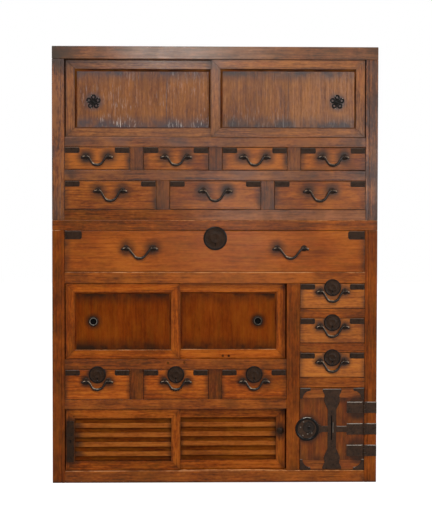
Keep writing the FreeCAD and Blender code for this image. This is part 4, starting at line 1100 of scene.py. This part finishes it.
def upper_boards(number, low, high):
    height = high.z - low.z
    if is_post(low, high):
        return UPPER_POST, None, False
    if low.z > 1.4:
        return CASE_TOP, None, False
    if low.y < FRONT_ZONE and height > 0.3:
        return UPPER_STILE, None, False
    return UPPER_BASE if low.z < SPLIT + 0.002 and height < 0.06 else CASE_UPPER, None, False


def drawer_boards(kind):
    def choose(number, low, high):
        if number == 0:
            return FACES[kind], GRAIN_X, True
        return DRAWER_BOX, None, False
    return choose


def door_boards(bars, planks):
    def choose(number, low, high):
        if high.y - low.y < 0.009 and high.z - low.z > 0.1:
            return planks, GRAIN_Z, True
        return bars, None, False
    return choose


def slat_boards(number, low, high):
    thickness = high.y - low.y
    if thickness < 0.005:
        return SLAT_BACK, GRAIN_X, False
    if thickness < 0.008 and high.x - low.x > 0.1:
        return SLAT, GRAIN_X, True
    return SLAT_FRAME, None, True


def safe_boards(number, low, high):
    if high.z - low.z > 0.1:
        return SAFE_FACE, GRAIN_Z, True
    return SAFE_BATTEN, GRAIN_X, True


dress_wood("lower_case", lower_boards, knots=RAIL_KNOTS)
dress_wood("upper_case", upper_boards)

for drawer in [name[:-4] for name in frame["nodes"] if name.endswith("_box")]:
    marks = iron_drawer(drawer)
    dress_wood(drawer + "_box", drawer_boards(drawer.split("_")[0]), marks)
for name in [name for name in frame["nodes"] if name.endswith("_bail")]:
    bail_piece(name, *BAIL_SIZES[name.split("_")[0]])

DOORS = (("left", UPPER_FRAME, PALE_STREAKED_PANEL, IRON_WORN_AND_HIGHLIGHT, ()),
         ("right", RIGHT_FRAME, UPPER_PANEL, IRON_EDGE_WEAR_AND_HIGHLIGHT, DOOR_KNOTS))
for side, bars, planks, rim_iron, knots in DOORS:
    marks = flower_pull("upper_%s_pull" % side)
    dress_wood("upper_%s_door" % side, door_boards(bars, planks), marks, UPPER_SHADOW_STRIPS)
    marks = cup_pull("panel_%s_pull" % side, rim_iron)
    dress_wood("panel_%s_door" % side, door_boards(LOWER_FRAME, LOWER_PANEL), marks,
               LOWER_SHADOW_STRIPS, knots)
for side, marks in (("left", slat_plate()), ("right", slat_knob())):
    dress_wood("slat_%s_door" % side, slat_boards, marks)
dress_wood("safe_door", safe_boards, safe_irons())


# Floor, light and camera.

FLOOR_SIZE = 12.0
SURROUND_LIGHT = 0.12
WHITE = (1.0, 1.0, 1.0, 1.0)
SEEN_RAYS = ("Is Camera Ray", "Is Glossy Ray", "Is Transmission Ray")
# Lamps: place, target, width, height and power.
LAMPS = {
    "key": ((-1.2, -4.2, 3.9), (0, 0, 0.9), 2.2, 1.4, 147.0),
    "fill": ((2.8, -4.2, 1.4), (0, 0, 0.6), 1.6, 2.0, 107.0),
    "over": ((0.1, -5.4, 2.1), (0, 0, 1.2), 2.6, 1.4, 12.0),
    "glare": ((-0.16, -5.3, 2.12), (0, 0, 1.2), 0.3, 0.4, 16.0),
    "side_glare": ((1.2, -5.3, 1.12), (0, 0, 1.0), 0.25, 0.5, 4.0),
    "flash": ((0.27, -5.4, 0.85), (0, 0, 0.9), 0.42, 0.5, 5.5),
    "back_fill": ((-2.0, 3.5, 2.6), (0, 0, 0.8), 2.5, 2.0, 60.0),
}
CAMERA_PLACE = (-0.1447, -5.4616, 0.9614)
CAMERA_PITCH, CAMERA_YAW, CAMERA_ROLL = 0.0388, 0.0281, 0.0018
SENSOR_HEIGHT, PICTURE_HEIGHT, FOCAL_PIXELS = 24.0, 516, 1565.0


def seen_share(nodes, links):
    """One for rays that show the background itself, nought for rays that carry its light."""
    path = nodes.new("ShaderNodeLightPath")
    seen = path.outputs[SEEN_RAYS[0]]
    for ray in SEEN_RAYS[1:]:
        either = nodes.new("ShaderNodeMath")
        either.operation = "MAXIMUM"
        links.new(seen, either.inputs[0])
        links.new(path.outputs[ray], either.inputs[1])
        seen = either.outputs[0]
    return seen


def add_object(name, data):
    item = bpy.data.objects.new(name, data)
    bpy.context.scene.collection.objects.link(item)
    return item


def stage():
    bm = bmesh.new()
    bmesh.ops.create_grid(bm, x_segments=1, y_segments=1, size=FLOOR_SIZE)
    mesh = bpy.data.meshes.new("floor")
    bm.to_mesh(mesh)
    bm.free()
    floor = add_object("floor", mesh)
    tree = Tree("pale_floor")
    inputs = tree.shader.inputs
    inputs["Base Color"].default_value = (0.16, 0.16, 0.16, 1.0)
    inputs["Roughness"].default_value = 0.9
    inputs["Emission Color"].default_value = WHITE
    tree.put(inputs["Emission Strength"], seen_share(tree.nodes, tree.links))
    mesh.materials.append(tree.material)


def world():
    """White where it is seen, and a faint light from all round."""
    setting = bpy.data.worlds.new("studio")
    setting.use_nodes = True
    nodes, links = setting.node_tree.nodes, setting.node_tree.links
    background = nodes["Background"]
    background.inputs["Color"].default_value = WHITE
    blend = nodes.new("ShaderNodeMapRange")
    blend.inputs["To Min"].default_value = SURROUND_LIGHT
    links.new(seen_share(nodes, links), blend.inputs[0])
    links.new(blend.outputs[0], background.inputs["Strength"])
    bpy.context.scene.world = setting


def lamp(name, at, target, width, height, power):
    data = bpy.data.lights.new(name, "AREA")
    data.shape = "RECTANGLE"
    data.size, data.size_y = width, height
    data.energy = power
    item = add_object(name, data)
    item.location = at
    item.rotation_euler = (Vector(target) - Vector(at)).to_track_quat("-Z", "Y").to_euler()


def camera():
    data = bpy.data.cameras.new("camera")
    data.sensor_fit = "VERTICAL"
    data.sensor_height = SENSOR_HEIGHT
    data.lens = SENSOR_HEIGHT * FOCAL_PIXELS / PICTURE_HEIGHT
    item = add_object("camera", data)
    item.location = CAMERA_PLACE
    item.rotation_mode = "XYZ"
    turn = (Matrix.Rotation(-CAMERA_YAW, 4, "Z")
            @ Matrix.Rotation(math.radians(90) - CAMERA_PITCH, 4, "X")
            @ Matrix.Rotation(CAMERA_ROLL, 4, "Z"))
    item.rotation_euler = turn.to_euler()
    bpy.context.scene.camera = item


stage()
world()
camera()
for name, settings in LAMPS.items():
    lamp(name, *settings)

bpy.context.scene.view_settings.view_transform = "Standard"
